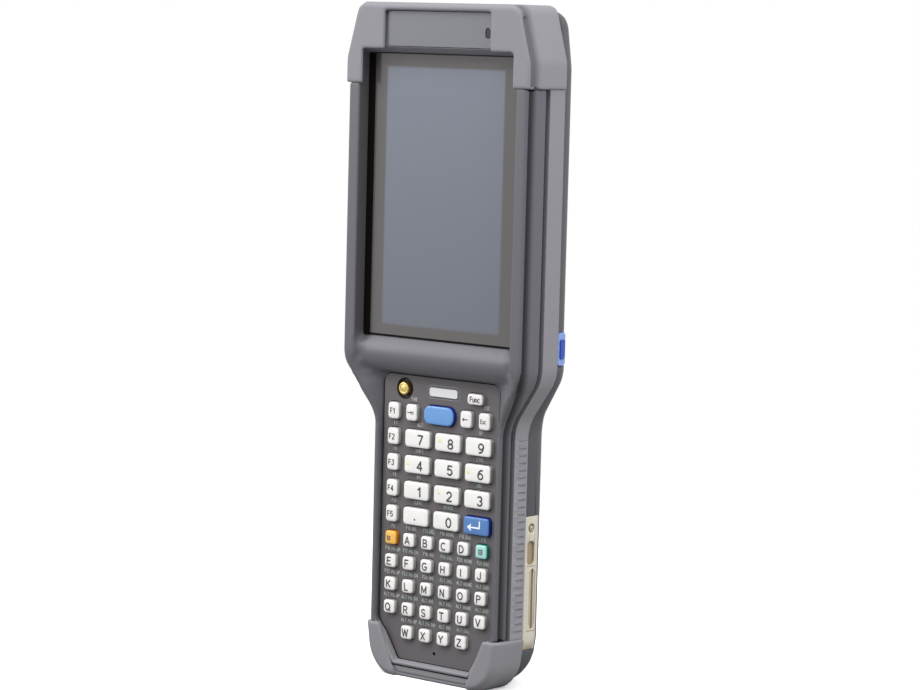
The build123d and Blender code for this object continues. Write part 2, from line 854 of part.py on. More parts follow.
def dock_connector():
    """Charging connector in the foot: block with a row of flat contacts."""
    body = box(-dock_w + seat, dock_w - seat, dock_front + seat, dock_back - seat, 1.0, dock_h)
    for i in range(6):
        x = (i - 2.5) * 2.8
        body += box(x - 0.7, x + 0.7, dock_front + 1.6, dock_back - 1.6, 0.6, 1.2)
    return body


def build():
    form = rear_form()
    keep("front_housing", front_housing())
    keep("rear_housing", rear_housing(form))
    keep("housing_seal", housing_seal())
    keep("top_bumper", top_bumper_space())
    keep("bottom_bumper", bottom_bumper_space())
    keep("side_band_right", side_band(1))
    keep("side_band_left", side_band(-1))
    keep("touch_glass", touch_glass())
    keep("display_gasket", display_gasket())
    keep("display_module", display_module())
    keep("header_plate", header_plate())
    keep("led_lens", slab(led_slot(), plate_sink + lens_sink - rail_rise, header_t - rail_rise))
    keep("keypad_panel", keypad_panel())
    keep("status_window", status_window())
    for name, caps in key_table().items():
        made = [key_cap(size, x, z) for size, x, z in caps]
        keep(name, made[0] if len(made) == 1 else Compound(children=made))
    keep("key_power", power_button())
    mat_front = panel_front + panel_t + seat + key_flange + key_travel + seat
    keep("keypad_mat", slab(keypad_face(-0.2), mat_front, mat_front + mat_t))
    board_front = mat_front + mat_t
    keep("keypad_board", slab(keypad_face(-0.2), board_front, board_front + board_t))
    keep("chassis", chassis())
    keep("main_board", main_board())
    keep("scan_engine", scan_engine())
    keep("scan_window", scan_window())
    speaker_back = back_top - wall
    keep("speaker", bore(0, speaker_z, 9, speaker_back - 3.5, speaker_back))
    keep("battery_contacts", contact_block())
    keep("dock_connector", dock_connector())
    keep("battery_pack", battery_pack(form))
    keep("battery_cover", battery_cover(form))
    keep("battery_latch", latch())
    keep("housing_screws", Compound(children=screws()))
    right, left = both_sides(side_button())
    keep("side_button_right", right)
    keep("side_button_left", left)


build()
for name, shape in parts.items():
    export_step(shape, f"parts/{name}.step")
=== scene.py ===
import bpy
import bmesh
import math
from mathutils import Matrix, Vector


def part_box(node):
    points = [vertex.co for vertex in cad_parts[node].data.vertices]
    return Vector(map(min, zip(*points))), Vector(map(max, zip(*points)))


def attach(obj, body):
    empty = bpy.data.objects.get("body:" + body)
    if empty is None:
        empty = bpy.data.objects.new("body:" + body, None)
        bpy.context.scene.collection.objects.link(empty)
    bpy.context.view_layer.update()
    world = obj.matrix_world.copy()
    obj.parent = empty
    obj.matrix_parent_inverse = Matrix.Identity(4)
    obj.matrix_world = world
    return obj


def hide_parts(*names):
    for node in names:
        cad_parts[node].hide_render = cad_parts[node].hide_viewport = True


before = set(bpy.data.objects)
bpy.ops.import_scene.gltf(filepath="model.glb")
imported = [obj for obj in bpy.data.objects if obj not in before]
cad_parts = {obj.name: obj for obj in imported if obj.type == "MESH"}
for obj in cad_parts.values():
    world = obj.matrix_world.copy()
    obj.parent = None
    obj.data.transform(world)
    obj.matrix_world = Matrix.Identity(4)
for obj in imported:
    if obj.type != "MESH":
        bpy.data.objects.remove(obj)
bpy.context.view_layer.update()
mm = 0.001

# depths in the terminal, in millimetres, as the solids have them
depths = {
    "panelFace": -8.0,
    "rimFace": -10.0,
    "keyTop": -9.55,
    "keySkirt": -6.2,
}


def srgb(red, green, blue):
    def linear(value):
        value /= 255
        return value / 12.92 if value <= 0.04045 else ((value + 0.055) / 1.055) ** 2.4

    return (linear(red), linear(green), linear(blue), 1.0)


def feed(node, inputs):
    # an input gets a link where the value is a socket
    for key, value in inputs.items():
        if isinstance(value, bpy.types.NodeSocket):
            node.id_data.links.new(value, node.inputs[key])
        else:
            node.inputs[key].default_value = value


def addNode(tree, kind, inputs=None, **settings):
    node = tree.nodes.new(kind)
    column, row = divmod(len(tree.nodes), 6)
    node.location = (column * 240, -row * 240)
    for key, value in settings.items():
        setattr(node, key, value)
    feed(node, inputs or {})
    return node


def newObject(name, data):
    piece = bpy.data.objects.new(name, data)
    bpy.context.scene.collection.objects.link(piece)
    return piece


def evaluatedMesh(piece):
    # the finished mesh; the object that carried the modifiers goes
    graph = bpy.context.evaluated_depsgraph_get()
    mesh = bpy.data.meshes.new_from_object(piece.evaluated_get(graph), depsgraph=graph)
    bpy.data.objects.remove(piece)
    return mesh


def builtMesh(builder, name):
    mesh = bpy.data.meshes.new(name)
    builder.to_mesh(mesh)
    builder.free()
    return mesh


def addPiece(name, mesh, painted, body, slotName, *nodes):
    for finish in painted:
        mesh.materials.append(finishes[finish])
    piece = newObject(name, mesh)
    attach(piece, body)
    for node in nodes:
        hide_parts(node)


def boxMm(name):
    low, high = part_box(name)
    return [value / mm for value in low], [value / mm for value in high]


def middleOf(name):
    low, high = boxMm(name)
    return (low[0] + high[0]) / 2, (low[2] + high[2]) / 2


cameraValues = {
    "position": (0.716948, -0.826367, 0.219223),
    "azimuth": 40.79,
    "elevation": 6.50,
    "roll": 1.50,
    "focal": 3277.35,
    "size": (920, 690),
    "centre": (465.88, 401.10),
    "sensor": 36.0,
}


def addCamera():
    values = cameraValues
    azimuth, elevation, roll = (math.radians(values[key]) for key in ("azimuth", "elevation", "roll"))
    level = math.cos(elevation)
    look = -Vector((math.sin(azimuth) * level, -math.cos(azimuth) * level, math.sin(elevation)))
    right = look.cross(Vector((0, 0, 1))).normalized()
    up = right.cross(look)
    rolledRight = right * math.cos(roll) + up * math.sin(roll)
    rolledUp = up * math.cos(roll) - right * math.sin(roll)
    width, height = values["size"]
    aim = look * values["focal"]
    aim += rolledRight * (width / 2 - values["centre"][0])
    aim -= rolledUp * (height / 2 - values["centre"][1])
    back = -aim.normalized()
    side = (rolledRight - back * rolledRight.dot(back)).normalized()
    over = back.cross(side)
    data = bpy.data.cameras.new("camera")
    data.sensor_width = values["sensor"]
    data.lens = values["focal"] * values["sensor"] / width
    camera = bpy.data.objects.new("camera", data)
    turn = Matrix((side, over, back)).transposed().to_4x4()
    camera.matrix_world = Matrix.Translation(values["position"]) @ turn
    bpy.context.scene.collection.objects.link(camera)
    bpy.context.scene.camera = camera


# each lamp: place, size, strength in watts, and whether glossy surfaces mirror it
lampValues = {
    "leftSoftbox": {"place": (-0.58, -0.52, 0.56), "size": (0.4, 0.6), "power": 6.3, "shines": True},
    "rightSoftbox": {"place": (0.64, -0.02, 0.52), "size": (0.4, 0.6), "power": 5.3, "shines": False},
    "overhead": {"place": (0.10, -0.60, 1.15), "size": (0.7, 0.6), "power": 11.0, "shines": False},
    "behind": {"place": (-0.5, 1.1, 0.7), "size": (0.8, 0.8), "power": 5.0, "shines": False},
}


def addLamps():
    target = Vector((0, 0, 0.12))
    for name, values in lampValues.items():
        data = bpy.data.lights.new(name, "AREA")
        data.shape = "RECTANGLE"
        data.size, data.size_y = values["size"]
        data.energy = values["power"]
        lamp = bpy.data.objects.new(name, data)
        lamp.location = values["place"]
        lamp.visible_glossy = values["shines"]
        lamp.rotation_euler = (target - lamp.location).to_track_quat("-Z", "Y").to_euler()
        bpy.context.scene.collection.objects.link(lamp)


def maths(tree, operation, *values):
    return addNode(tree, "ShaderNodeMath", dict(enumerate(values)), operation=operation).outputs[0]


def mixColours(tree, factor, first, second):
    inputs = {"Factor": factor, 6: first, 7: second}    # 6 and 7 are the two colours
    return addNode(tree, "ShaderNodeMix", inputs, data_type="RGBA").outputs[2]


def shade(colour, factor):
    return tuple(min(1.0, value * factor) for value in colour[:3]) + (1.0,)


def objectPoint(tree):
    return addNode(tree, "ShaderNodeTexCoord").outputs["Object"]


def surfaceNormal(tree):
    return addNode(tree, "ShaderNodeNewGeometry").outputs["Normal"]


def split(tree, vector):
    return addNode(tree, "ShaderNodeSeparateXYZ", {0: vector}).outputs


def noise(tree, vector, scale, detail):
    inputs = {"Vector": vector, "Scale": scale, "Detail": detail}
    return addNode(tree, "ShaderNodeTexNoise", inputs).outputs["Fac"]


def spread(tree, value, low, high, start=0.0, end=1.0, kind="LINEAR"):
    inputs = {"Value": value, "From Min": start, "From Max": end, "To Min": low, "To Max": high}
    return addNode(tree, "ShaderNodeMapRange", inputs, interpolation_type=kind).outputs["Result"]


def within(tree, limits, kind="LINEAR"):
    # limits: value, where it counts as outside, and where as inside; all have to be inside
    share = None
    for value, outside, inside in limits:
        low, high = (0.0, 1.0) if outside < inside else (1.0, 0.0)
        part = spread(tree, value, low, high, min(outside, inside), max(outside, inside), kind)
        share = part if share is None else maths(tree, "MULTIPLY", share, part)
    return share


def clearedTree(owner):
    owner.use_nodes = True
    owner.node_tree.nodes.clear()
    return owner.node_tree


worldValues = {"ambient": 0.38, "colour": srgb(252, 252, 255)}


def addWorld():
    world = bpy.data.worlds.new("studio")
    tree = clearedTree(world)
    ambient = {"Color": worldValues["colour"], "Strength": worldValues["ambient"]}
    room = addNode(tree, "ShaderNodeBackground", ambient).outputs[0]
    white = addNode(tree, "ShaderNodeBackground", {"Color": (1, 1, 1, 1), "Strength": 1.0}).outputs[0]
    path = addNode(tree, "ShaderNodeLightPath").outputs
    seen = maths(tree, "MAXIMUM", path["Is Camera Ray"], path["Is Glossy Ray"])
    seen = maths(tree, "MAXIMUM", seen, path["Is Transmission Ray"])
    mix = addNode(tree, "ShaderNodeMixShader", {0: seen, 1: room, 2: white}).outputs[0]
    addNode(tree, "ShaderNodeOutputWorld", {0: mix})
    bpy.context.scene.world = world


floorValues = {
    "radius": 0.9,
    "fadeFrom": 0.16,
    "fadeTo": 0.55,
    "speckle": 60.0,
    "seen": srgb(252, 252, 252),
    "thrown": srgb(150, 150, 150),    # what it throws back on the terminal
    "glow": 0.22,
}


def addFloor():
    values = floorValues
    builder = bmesh.new()
    bmesh.ops.create_circle(builder, cap_ends=True, segments=96, radius=values["radius"])
    mesh = builtMesh(builder, "floor")
    material = bpy.data.materials.new("paleFloor")
    tree = clearedTree(material)
    where = objectPoint(tree)
    reach = addNode(tree, "ShaderNodeVectorMath", {0: where}, operation="LENGTH").outputs["Value"]
    fade = spread(tree, reach, 0.0, 1.0, values["fadeFrom"], values["fadeTo"], "SMOOTHSTEP")
    speckle = noise(tree, where, values["speckle"], 3.0)
    tint = mixColours(tree, speckle, values["seen"], shade(values["seen"], 0.99))
    camera = addNode(tree, "ShaderNodeLightPath").outputs["Is Camera Ray"]
    colour = mixColours(tree, camera, values["thrown"], tint)
    surface = addNode(tree, "ShaderNodeBsdfDiffuse", {"Color": colour}).outputs[0]
    strength = spread(tree, camera, 0.0, values["glow"])
    glow = addNode(tree, "ShaderNodeEmission", {"Strength": strength}).outputs[0]
    both = addNode(tree, "ShaderNodeAddShader", {0: surface, 1: glow}).outputs[0]
    clear = addNode(tree, "ShaderNodeBsdfTransparent").outputs[0]
    mix = addNode(tree, "ShaderNodeMixShader", {0: fade, 1: both, 2: clear}).outputs[0]
    addNode(tree, "ShaderNodeOutputMaterial", {0: mix})
    mesh.materials.append(material)
    newObject("floor", mesh)


def finishTree(name):
    material = bpy.data.materials.new(name)
    tree = clearedTree(material)
    shader = addNode(tree, "ShaderNodeBsdfPrincipled")
    addNode(tree, "ShaderNodeOutputMaterial", {0: shader.outputs[0]})
    return material, tree, shader


def shaderOf(material):
    return next(node for node in material.node_tree.nodes if node.type == "BSDF_PRINCIPLED")


# colour, roughness, gloss, grain size in 1/m, grain depth in mm, wear on edges
finishValues = {
    "housingDark": (srgb(89, 88, 94), 0.46, 0.38, 5200, 0.018, 0.10),
    "housingRear": (srgb(78, 78, 82), 0.48, 0.30, 4200, 0.022, 0.08),
    "rubberGrey": (srgb(127, 126, 131), 0.62, 0.30, 3600, 0.020, 0.08),
    "sealBlack": (srgb(24, 23, 25), 0.72, 0.15, 3000, 0.010, 0.0),
    # painted shade: the black of the strips along the glass's edges
    "edgeShadeBlack": (srgb(14, 12, 10), 0.80, 0.08, 3000, 0.004, 0.0),
    "plateDark": (srgb(103, 104, 110), 0.36, 0.40, 6000, 0.006, 0.05),
    "panelGrey": (srgb(92, 88, 91), 0.46, 0.34, 6500, 0.008, 0.04),
    "windowWhite": (srgb(214, 214, 216), 0.35, 0.40, 2500, 0.004, 0.0),
    "lensDark": (srgb(38, 39, 44), 0.18, 0.50, 2500, 0.002, 0.0),
    "siliconeGrey": (srgb(70, 70, 72), 0.75, 0.20, 3500, 0.012, 0.0),
    "boardGreen": (srgb(24, 78, 46), 0.45, 0.40, 2600, 0.006, 0.05),
    "engineBlack": (srgb(20, 20, 22), 0.40, 0.40, 3600, 0.010, 0.05),
    "batteryPale": (srgb(196, 191, 176), 0.28, 0.50, 5200, 0.008, 0.10),
    "latchGrey": (srgb(62, 62, 67), 0.50, 0.30, 4600, 0.018, 0.10),
    # painted shade: the dark brown in the power key's well; the battery boss's eye is this brown too
    "wellBrown": (srgb(38, 30, 18), 0.45, 0.30, 4600, 0.006, 0.0),
    "keyWhite": (srgb(224, 223, 220), 0.42, 0.40, 5200, 0.004, 0.0),
    "keyBlue": (srgb(98, 146, 200), 0.34, 0.45, 5200, 0.004, 0.0),
    "keyDeepBlue": (srgb(76, 118, 174), 0.34, 0.45, 5200, 0.004, 0.0),
    "keyOrange": (srgb(228, 178, 84), 0.38, 0.40, 5200, 0.004, 0.0),
    "keyGreen": (srgb(160, 204, 198), 0.38, 0.40, 5200, 0.004, 0.0),
}

# painted shade: the walls round the glass are painted darker than the rest of the housing, as the shade in
# the recess
recessShadeValues = {
    "halfWidth": 34.6, "front": -14.1, "foot": 116.2, "top": 206.4,
    "soft": 0.25, "colour": srgb(80, 77, 79),
}


def recessShadeMask(tree, where):
    values = recessShadeValues
    parts = split(tree, where)
    across = maths(tree, "ABSOLUTE", parts["X"])
    edges = (
        (across, values["halfWidth"], -values["soft"]),
        (parts["Y"], values["front"], values["soft"]),
        (parts["Z"], values["foot"], values["soft"]),
        (parts["Z"], values["top"], -values["soft"]),
    )
    limits = [(value, (limit - soft) * mm, (limit + soft) * mm) for value, limit, soft in edges]
    return within(tree, limits, "SMOOTHSTEP")


# the slope under the header plate catches light from below
sillValues = {"turned": (-0.65, -0.8), "height": (209.0, 210.0), "light": 1.9}


def sillMask(tree, where):
    turned = split(tree, surfaceNormal(tree))["Z"]
    low, high = (value * mm for value in sillValues["height"])
    return within(tree, [(turned, *sillValues["turned"]), (split(tree, where)["Z"], low, high)])


# sizes in 1/m; the bevel in mm rounds every edge a little in the shading
grainValues = {"mottle": 45.0, "fleck": 1900.0, "bevel": 0.35, "worn": 1.5, "valleyShade": 0.075}


def bodyFinish(name):
    colour, roughness, gloss, grainSize, grainDepth, wear = finishValues[name]
    values = grainValues
    material, tree, shader = finishTree(name)
    where = objectPoint(tree)
    mottle = noise(tree, where, values["mottle"], 3.0)
    fleck = spread(tree, noise(tree, where, values["fleck"], 2.0), 0.0, 0.35, 0.45, 0.75)
    paint = mixColours(tree, mottle, shade(colour, 0.95), shade(colour, 1.05))
    paint = mixColours(tree, fleck, paint, shade(colour, 0.86))
    if name == "housingDark":
        # painted shade on the walls round the glass
        paint = mixColours(tree, recessShadeMask(tree, where), paint, recessShadeValues["colour"])
        paint = mixColours(tree, sillMask(tree, where), paint, shade(colour, sillValues["light"]))
    if name in ("housingDark", "rubberGrey"):
        # painted shade: the valley's floor is painted darker, as its shadow
        hollow = addNode(tree, "ShaderNodeAttribute", attribute_name="hollow").outputs["Fac"]
        paint = mixColours(tree, hollow, paint, shade(colour, values["valleyShade"]))
    soft = addNode(tree, "ShaderNodeBevel", {"Radius": values["bevel"] * mm}, samples=4).outputs[0]
    if wear:
        sides = {0: surfaceNormal(tree), 1: soft}
        turn = addNode(tree, "ShaderNodeVectorMath", sides, operation="DOT_PRODUCT").outputs["Value"]
        edge = spread(tree, turn, wear * 4, 0.0, 0.86, 0.995)
        paint = mixColours(tree, edge, paint, shade(colour, values["worn"]))
    bump = addNode(tree, "ShaderNodeBump", {
        "Strength": 0.5, "Distance": grainDepth * mm,
        "Height": noise(tree, where, grainSize, 2.0), "Normal": soft,
    })
    feed(shader, {
        "Base Color": paint, "Roughness": spread(tree, mottle, roughness - 0.05, roughness + 0.06),
        "Normal": bump.outputs[0], "Specular IOR Level": gloss,
    })
    return material


def repaint(material, factor, colour):
    shader = shaderOf(material)
    under = shader.inputs["Base Color"].links[0].from_socket
    feed(shader, {"Base Color": mixColours(material.node_tree, factor, under, colour)})


# painted shade: the sides of each key, which turn away from the front, are painted darker than the top
skirtShadeColours = {
    "keyWhite": srgb(160, 159, 156),
    "keyDeepBlue": srgb(30, 48, 138),
    "keyBlue": srgb(30, 48, 138),
    "keyOrange": srgb(196, 122, 22),
    "keyGreen": srgb(42, 136, 112),
}
skirtTurn = (-0.75, -0.30)


def shadeSkirt(name, material):
    # painted shade on the sides of the key
    tree = material.node_tree
    forward = split(tree, surfaceNormal(tree))["Y"]
    repaint(material, spread(tree, forward, 0.0, 1.0, *skirtTurn, "SMOOTHSTEP"), skirtShadeColours[name])


screenValues = {
    "half": (26.15, 43.55),
    "middle": 162.6,
    "edge": 0.9,
    "border": srgb(82, 78, 78),
    "low": srgb(94, 98, 108),
    "high": srgb(110, 115, 127),
}


def screenFinish():
    # the dark picture area shows through the glass inside a brown-grey border
    values = screenValues
    material, tree, shader = finishTree("screenGlass")
    where = objectPoint(tree)
    parts = split(tree, where)
    middle, edge = values["middle"], values["edge"]
    limits = []
    for axis, centre, half in (("X", 0.0, values["half"][0]), ("Z", middle, values["half"][1])):
        away = maths(tree, "ABSOLUTE", maths(tree, "SUBTRACT", parts[axis], centre * mm))
        limits.append((away, (half + edge * 0.3) * mm, (half - edge) * mm))
    low, high = middle - values["half"][1], middle + values["half"][1]
    # painted light: the picture area is painted lighter towards its top
    climb = spread(tree, parts["Z"], 0.0, 1.0, low * mm, high * mm)
    picture = mixColours(tree, climb, values["low"], values["high"])
    haze = spread(tree, noise(tree, where, 30.0, 2.0), 0.0, 0.25)
    picture = mixColours(tree, haze, picture, shade(values["low"], 0.9))
    feed(shader, {
        "Base Color": mixColours(tree, within(tree, limits, "SMOOTHSTEP"), values["border"], picture),
        "Roughness": spread(tree, noise(tree, where, 160.0, 4.0), 0.10, 0.22),
        "Coat Weight": 0.6, "Coat Roughness": 0.04, "Specular IOR Level": 0.35,
    })
    return material


metalValues = {
    "screwSteel": {"colour": srgb(150, 150, 152), "rough": 0.30},
    "contactGold": {"colour": srgb(212, 168, 84), "rough": 0.28},
    "buttonGold": {"colour": srgb(208, 186, 118), "rough": 0.48},
    "chassisMetal": {"colour": srgb(150, 152, 155), "rough": 0.42},
}


def metalFinish(name):
    colour, rough = metalValues[name]["colour"], metalValues[name]["rough"]
    material, tree, shader = finishTree(name)
    where = objectPoint(tree)
    cloud = noise(tree, where, 300.0, 3.0)
    brushed = {"Strength": 0.4, "Distance": 0.006 * mm, "Height": noise(tree, where, 6000.0, 1.0)}
    feed(shader, {
        "Base Color": mixColours(tree, cloud, shade(colour, 0.85), shade(colour, 1.1)),
        "Roughness": spread(tree, cloud, rough - 0.08, rough + 0.1),
        "Normal": addNode(tree, "ShaderNodeBump", brushed).outputs[0], "Metallic": 1.0,
    })
    return material


inkValues = {
    "inkGrey": srgb(66, 66, 70),
    "inkWhite": srgb(232, 236, 240),
    "inkPale": srgb(172, 174, 172),
    "inkGreen": srgb(156, 170, 162),
    "inkDim": srgb(122, 120, 122),
    "inkTan": srgb(150, 134, 108),
    "inkYellow": srgb(234, 218, 140),
}


def inkFinish(name):
    colour = inkValues[name]
    material, tree, shader = finishTree(name)
    cover = noise(tree, objectPoint(tree), 2600.0, 3.0)
    feed(shader, {
        "Base Color": mixColours(tree, cover, shade(colour, 0.9), shade(colour, 1.08)),
        "Roughness": spread(tree, cover, 0.45, 0.62),
    })
    return material


# the marks sunk in the battery's sides are a deeper tan, in front of its cover
batteryValues = {"face": 28.3, "floor": 27.9, "cover": (9.5, 9.2), "tan": srgb(150, 134, 108)}


def tanBattery(material):
    values = batteryValues
    tree = material.node_tree
    parts = split(tree, objectPoint(tree))
    sunk = (maths(tree, "ABSOLUTE", parts["X"]), values["face"] * mm, values["floor"] * mm)
    side = (parts["Y"], *(depth * mm for depth in values["cover"]))
    repaint(material, within(tree, [sunk, side]), values["tan"])


# blue thumb pad in a paler blue surround
sideButtonValues = {"from": 39.62, "to": 39.70, "surround": srgb(120, 146, 205), "pad": srgb(40, 70, 160)}


def sideButtonFinish():
    values = sideButtonValues
    material = bodyFinish("keyBlue")
    material.name = "sideButtonBlue"
    tree = material.node_tree
    out = maths(tree, "ABSOLUTE", split(tree, objectPoint(tree))["X"])
    pad = spread(tree, out, 0.0, 1.0, values["from"] * mm, values["to"] * mm)
    feed(shaderOf(material), {"Base Color": mixColours(tree, pad, values["surround"], values["pad"])})
    return material


def makeFinishes():
    made = {name: bodyFinish(name) for name in finishValues}
    for name in skirtShadeColours:
        shadeSkirt(name, made[name])
    tanBattery(made["batteryPale"])
    made["sideButton"] = sideButtonFinish()
    made["screenGlass"] = screenFinish()
    made.update({name: metalFinish(name) for name in metalValues})
    made.update({name: inkFinish(name) for name in inkValues})
    return made


plainNodes = {
    "housing_seal": "sealBlack",
    "touch_glass": "screenGlass",
    "display_gasket": "sealBlack",
    "display_module": "engineBlack",
    "header_plate": "plateDark",
    "led_lens": "lensDark",
    "status_window": "windowWhite",
    "keypad_mat": "siliconeGrey",
    "keypad_board": "boardGreen",
    "chassis": "chassisMetal",
    "main_board": "boardGreen",
    "scan_engine": "engineBlack",
    "scan_window": "lensDark",
    "speaker": "engineBlack",
    "battery_contacts": "contactGold",
    "dock_connector": "contactGold",
    "side_button_right": "sideButton",
    "side_button_left": "sideButton",
    "battery_latch": "latchGrey",
}


def dressPlainNodes():
    for name, finish in plainNodes.items():
        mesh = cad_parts[name].data
        mesh.materials.clear()
        mesh.materials.append(finishes[finish])


# edges sharper than this many degrees stay sharp
creaseAngles = {"shell": 22.0, "turned": 40.0, "stroke": 50.0}

# piece, finish, the record's slot, and body
shellValues = {
    "front_housing": ("frontShell", "housingDark", "housing_dark", "terminal"),
    "top_bumper": ("topBumper", "rubberGrey", "rubber_grey", "terminal"),
    "bottom_bumper": ("footBumper", "rubberGrey", "rubber_grey", "terminal"),
    "side_band_right": ("bandRight", "rubberGrey", "rubber_grey", "terminal"),
    "side_band_left": ("bandLeft", "rubberGrey", "rubber_grey", "terminal"),
    "rear_housing": ("rearShell", "housingRear", "housing_rear", "terminal"),
    "battery_cover": ("batterySkin", "housingRear", "housing_rear", "battery"),
    "battery_pack": ("batteryCase", "batteryPale", "battery_pale", "battery"),
}

# net size and rounds of smoothing, for the shells that get an even net
netValues = {"front_housing": (0.5, 5), "top_bumper": (0.45, 7), "bottom_bumper": (0.45, 7)}

# below this height the front is rubber, the rim that frames the keypad's foot
rimValues = {"below": 17.4, "front": -6.9}

# soft valley down both sides: where its middle is and how far it goes in, beside screen and keys
valleyValues = {
    "head": (-12.35, 1.0), "grip": (-7.75, 1.3), "slope": (87.8, 107.8), "fade": 3.0,
    "front_housing": (12.0, 205.0, 1.0, 2.3),    # from, to, shadow and half width on this piece
    "top_bumper": (194.0, 231.0, 0.55, 3.3),
}

# raised ribs along the side bands, where the hand grips
ribValues = {
    "pitch": 2.45, "low": 20.4, "count": 27, "face": 29.1, "height": 0.5, "rise": 0.18,
    "front": -1.7, "back": 2.2, "sunk": 0.3, "round": 0.14, "bandTop": 85.0,
}


def flattenRibs(mesh):
    # the band's own ribs go; makeRibs puts rounder ones there
    face = ribValues["face"]
    for vertex in mesh.vertices:
        x, z = vertex.co.x / mm, vertex.co.z / mm
        if z < ribValues["bandTop"] and abs(x) > face:
            vertex.co.x = math.copysign(face, x) * mm


def joinedCopy(node, name):
    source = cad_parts[node].data.copy()
    builder = bmesh.new()
    builder.from_mesh(source)
    bmesh.ops.remove_doubles(builder, verts=builder.verts, dist=0.004 * mm)
    builder.to_mesh(source)
    builder.free()
    source.name = name
    source.materials.clear()
    return source


def smoothMesh(mesh, kind):
    mesh.shade_smooth()
    mesh.set_sharp_from_angle(angle=math.radians(creaseAngles[kind]))


def evenShading(node, name):
    # broad faces stay flat and the narrow ones round an edge blend between them
    mesh = joinedCopy(node, name)
    smoothMesh(mesh, "shell")
    holder = newObject(name + "Source", mesh)
    weighted = holder.modifiers.new("weighted", "WEIGHTED_NORMAL")
    weighted.keep_sharp = True
    weighted.weight = 90
    return evaluatedMesh(holder)


def evenSurface(node, name):
    # an even net of small faces, with the edges rounded as moulding leaves them
    voxel, rounds = netValues[node]
    holder = newObject(name + "Source", joinedCopy(node, name + "Source"))
    remesh = holder.modifiers.new("evenNet", "REMESH")
    remesh.mode = "VOXEL"
    remesh.voxel_size = voxel * mm
    soften = holder.modifiers.new("soften", "SMOOTH")
    soften.factor = 0.5
    soften.iterations = rounds
    mesh = evaluatedMesh(holder)
    mesh.materials.clear()
    mesh.shade_smooth()
    return mesh


def smoothStep(value, low, high):
    share = min(1.0, max(0.0, (value - low) / (high - low)))
    return share * share * (3 - 2 * share)


def carveValley(mesh, low, high, shadow, reach):
    values = valleyValues
    fade = values["fade"]
    moves = []
    hollow = mesh.attributes.new("hollow", "FLOAT", "POINT")
    for vertex in mesh.vertices:
        height, normal = vertex.co.z / mm, vertex.normal
        outward = math.copysign(1, vertex.co.x) * normal.x
        flat = math.hypot(normal.x, normal.z)
        if outward < 0.15 or not low < height < high:
            continue
        head = smoothStep(height, *values["slope"])
        middle, deep = (grip + (top - grip) * head for grip, top in zip(values["grip"], values["head"]))
        away = abs(vertex.co.y / mm - middle) / reach
        if away < 1:
            share = (0.5 + 0.5 * math.cos(math.pi * away)) * smoothStep(flat, 0.15, 0.8)
            share *= smoothStep(height, low, low + fade) * smoothStep(height, high, high - fade)
            # painted shade: how dark the valley's floor is painted here
            hollow.data[vertex.index].value = share * shadow
            moves.append((vertex.index, share * deep * normal.x / flat, share * deep * normal.z / flat))
    for index, x, z in moves:
        mesh.vertices[index].co.x -= x * mm
        mesh.vertices[index].co.z -= z * mm


# rounded roll between the glass and the keypad, and the field that is smoothed after it
rollValues = {
    "halfWidth": 33.8, "foot": 102.6, "crest": 109.6, "top": 115.0, "crestDepth": -13.1,
    "drop": 2.6, "under": 3.4, "behind": -8.6, "rounds": 9,
    "field": ((-35.6, -14.6, 101.8), (35.6, -8.4, 114.4)),
}


def shapeRoll(mesh):
    values = rollValues
    half, foot, crest, top = (values[key] for key in ("halfWidth", "foot", "crest", "top"))
    for vertex in mesh.vertices:
        x, y, z = (value / mm for value in vertex.co)
        if abs(x) > half or not foot < z < top or y > values["behind"] or vertex.normal.y > -0.1:
            continue
        if z > crest:
            depth = values["crestDepth"] + values["drop"] * ((z - crest) / (top - crest)) ** 1.7
        else:
            depth = values["crestDepth"] + values["under"] * ((crest - z) / (crest - foot)) ** 2.4
        blend = smoothStep(half - abs(x), 0.0, 4.0) * smoothStep(z, foot, foot + 1.0)
        vertex.co.y += (depth - y) * blend * mm
    builder = bmesh.new()
    builder.from_mesh(mesh)
    near, far = values["field"]
    rolled = [
        vertex for vertex in builder.verts
        if vertex.normal.y < 0.2
        and all(start * mm < value < end * mm for start, value, end in zip(near, vertex.co, far))
    ]
    for turn in range(values["rounds"]):
        bmesh.ops.smooth_vert(
            builder, verts=rolled, factor=0.5, use_axis_x=True, use_axis_y=True, use_axis_z=True)
    builder.to_mesh(mesh)
    builder.free()


def makeShells():
    for node, (name, finish, slotName, body) in shellValues.items():
        mesh = evenSurface(node, name) if node in netValues else evenShading(node, name)
        mesh.name = name
        painted = [finish]
        if node == "front_housing":
            shapeRoll(mesh)
        if node in valleyValues:
            carveValley(mesh, *valleyValues[node])
        if node.startswith("side_band"):
            flattenRibs(mesh)
        if node == "front_housing":
            painted.append("rubberGrey")
            for face in mesh.polygons:
                if face.center.z < rimValues["below"] * mm and face.center.y < rimValues["front"] * mm:
                    face.material_index = 1
        addPiece(name, mesh, painted, body, slotName, node)


capValues = {
    "lap": 0.8,
    "round": 0.55,
    "roundSteps": 4,
    "taper": 0.12,
    "crown": 0.10,
    "cornerSteps": 5,
    "sharpest": 0.3,
}

# corner radius of the top, finish, and the record's slot
keyStyles = {
    "letter": (1.25, "keyWhite", "keycap_white"),
    "number": (1.35, "keyWhite", "keycap_white"),
    "small": (1.35, "keyWhite", "keycap_white"),
    "scan": (2.7, "keyBlue", "keycap_blue"),
    "enter": (1.2, "keyDeepBlue", "keycap_blue"),
    "orange": (1.1, "keyOrange", "keycap_orange"),
    "green": (1.1, "keyGreen", "keycap_green"),
}

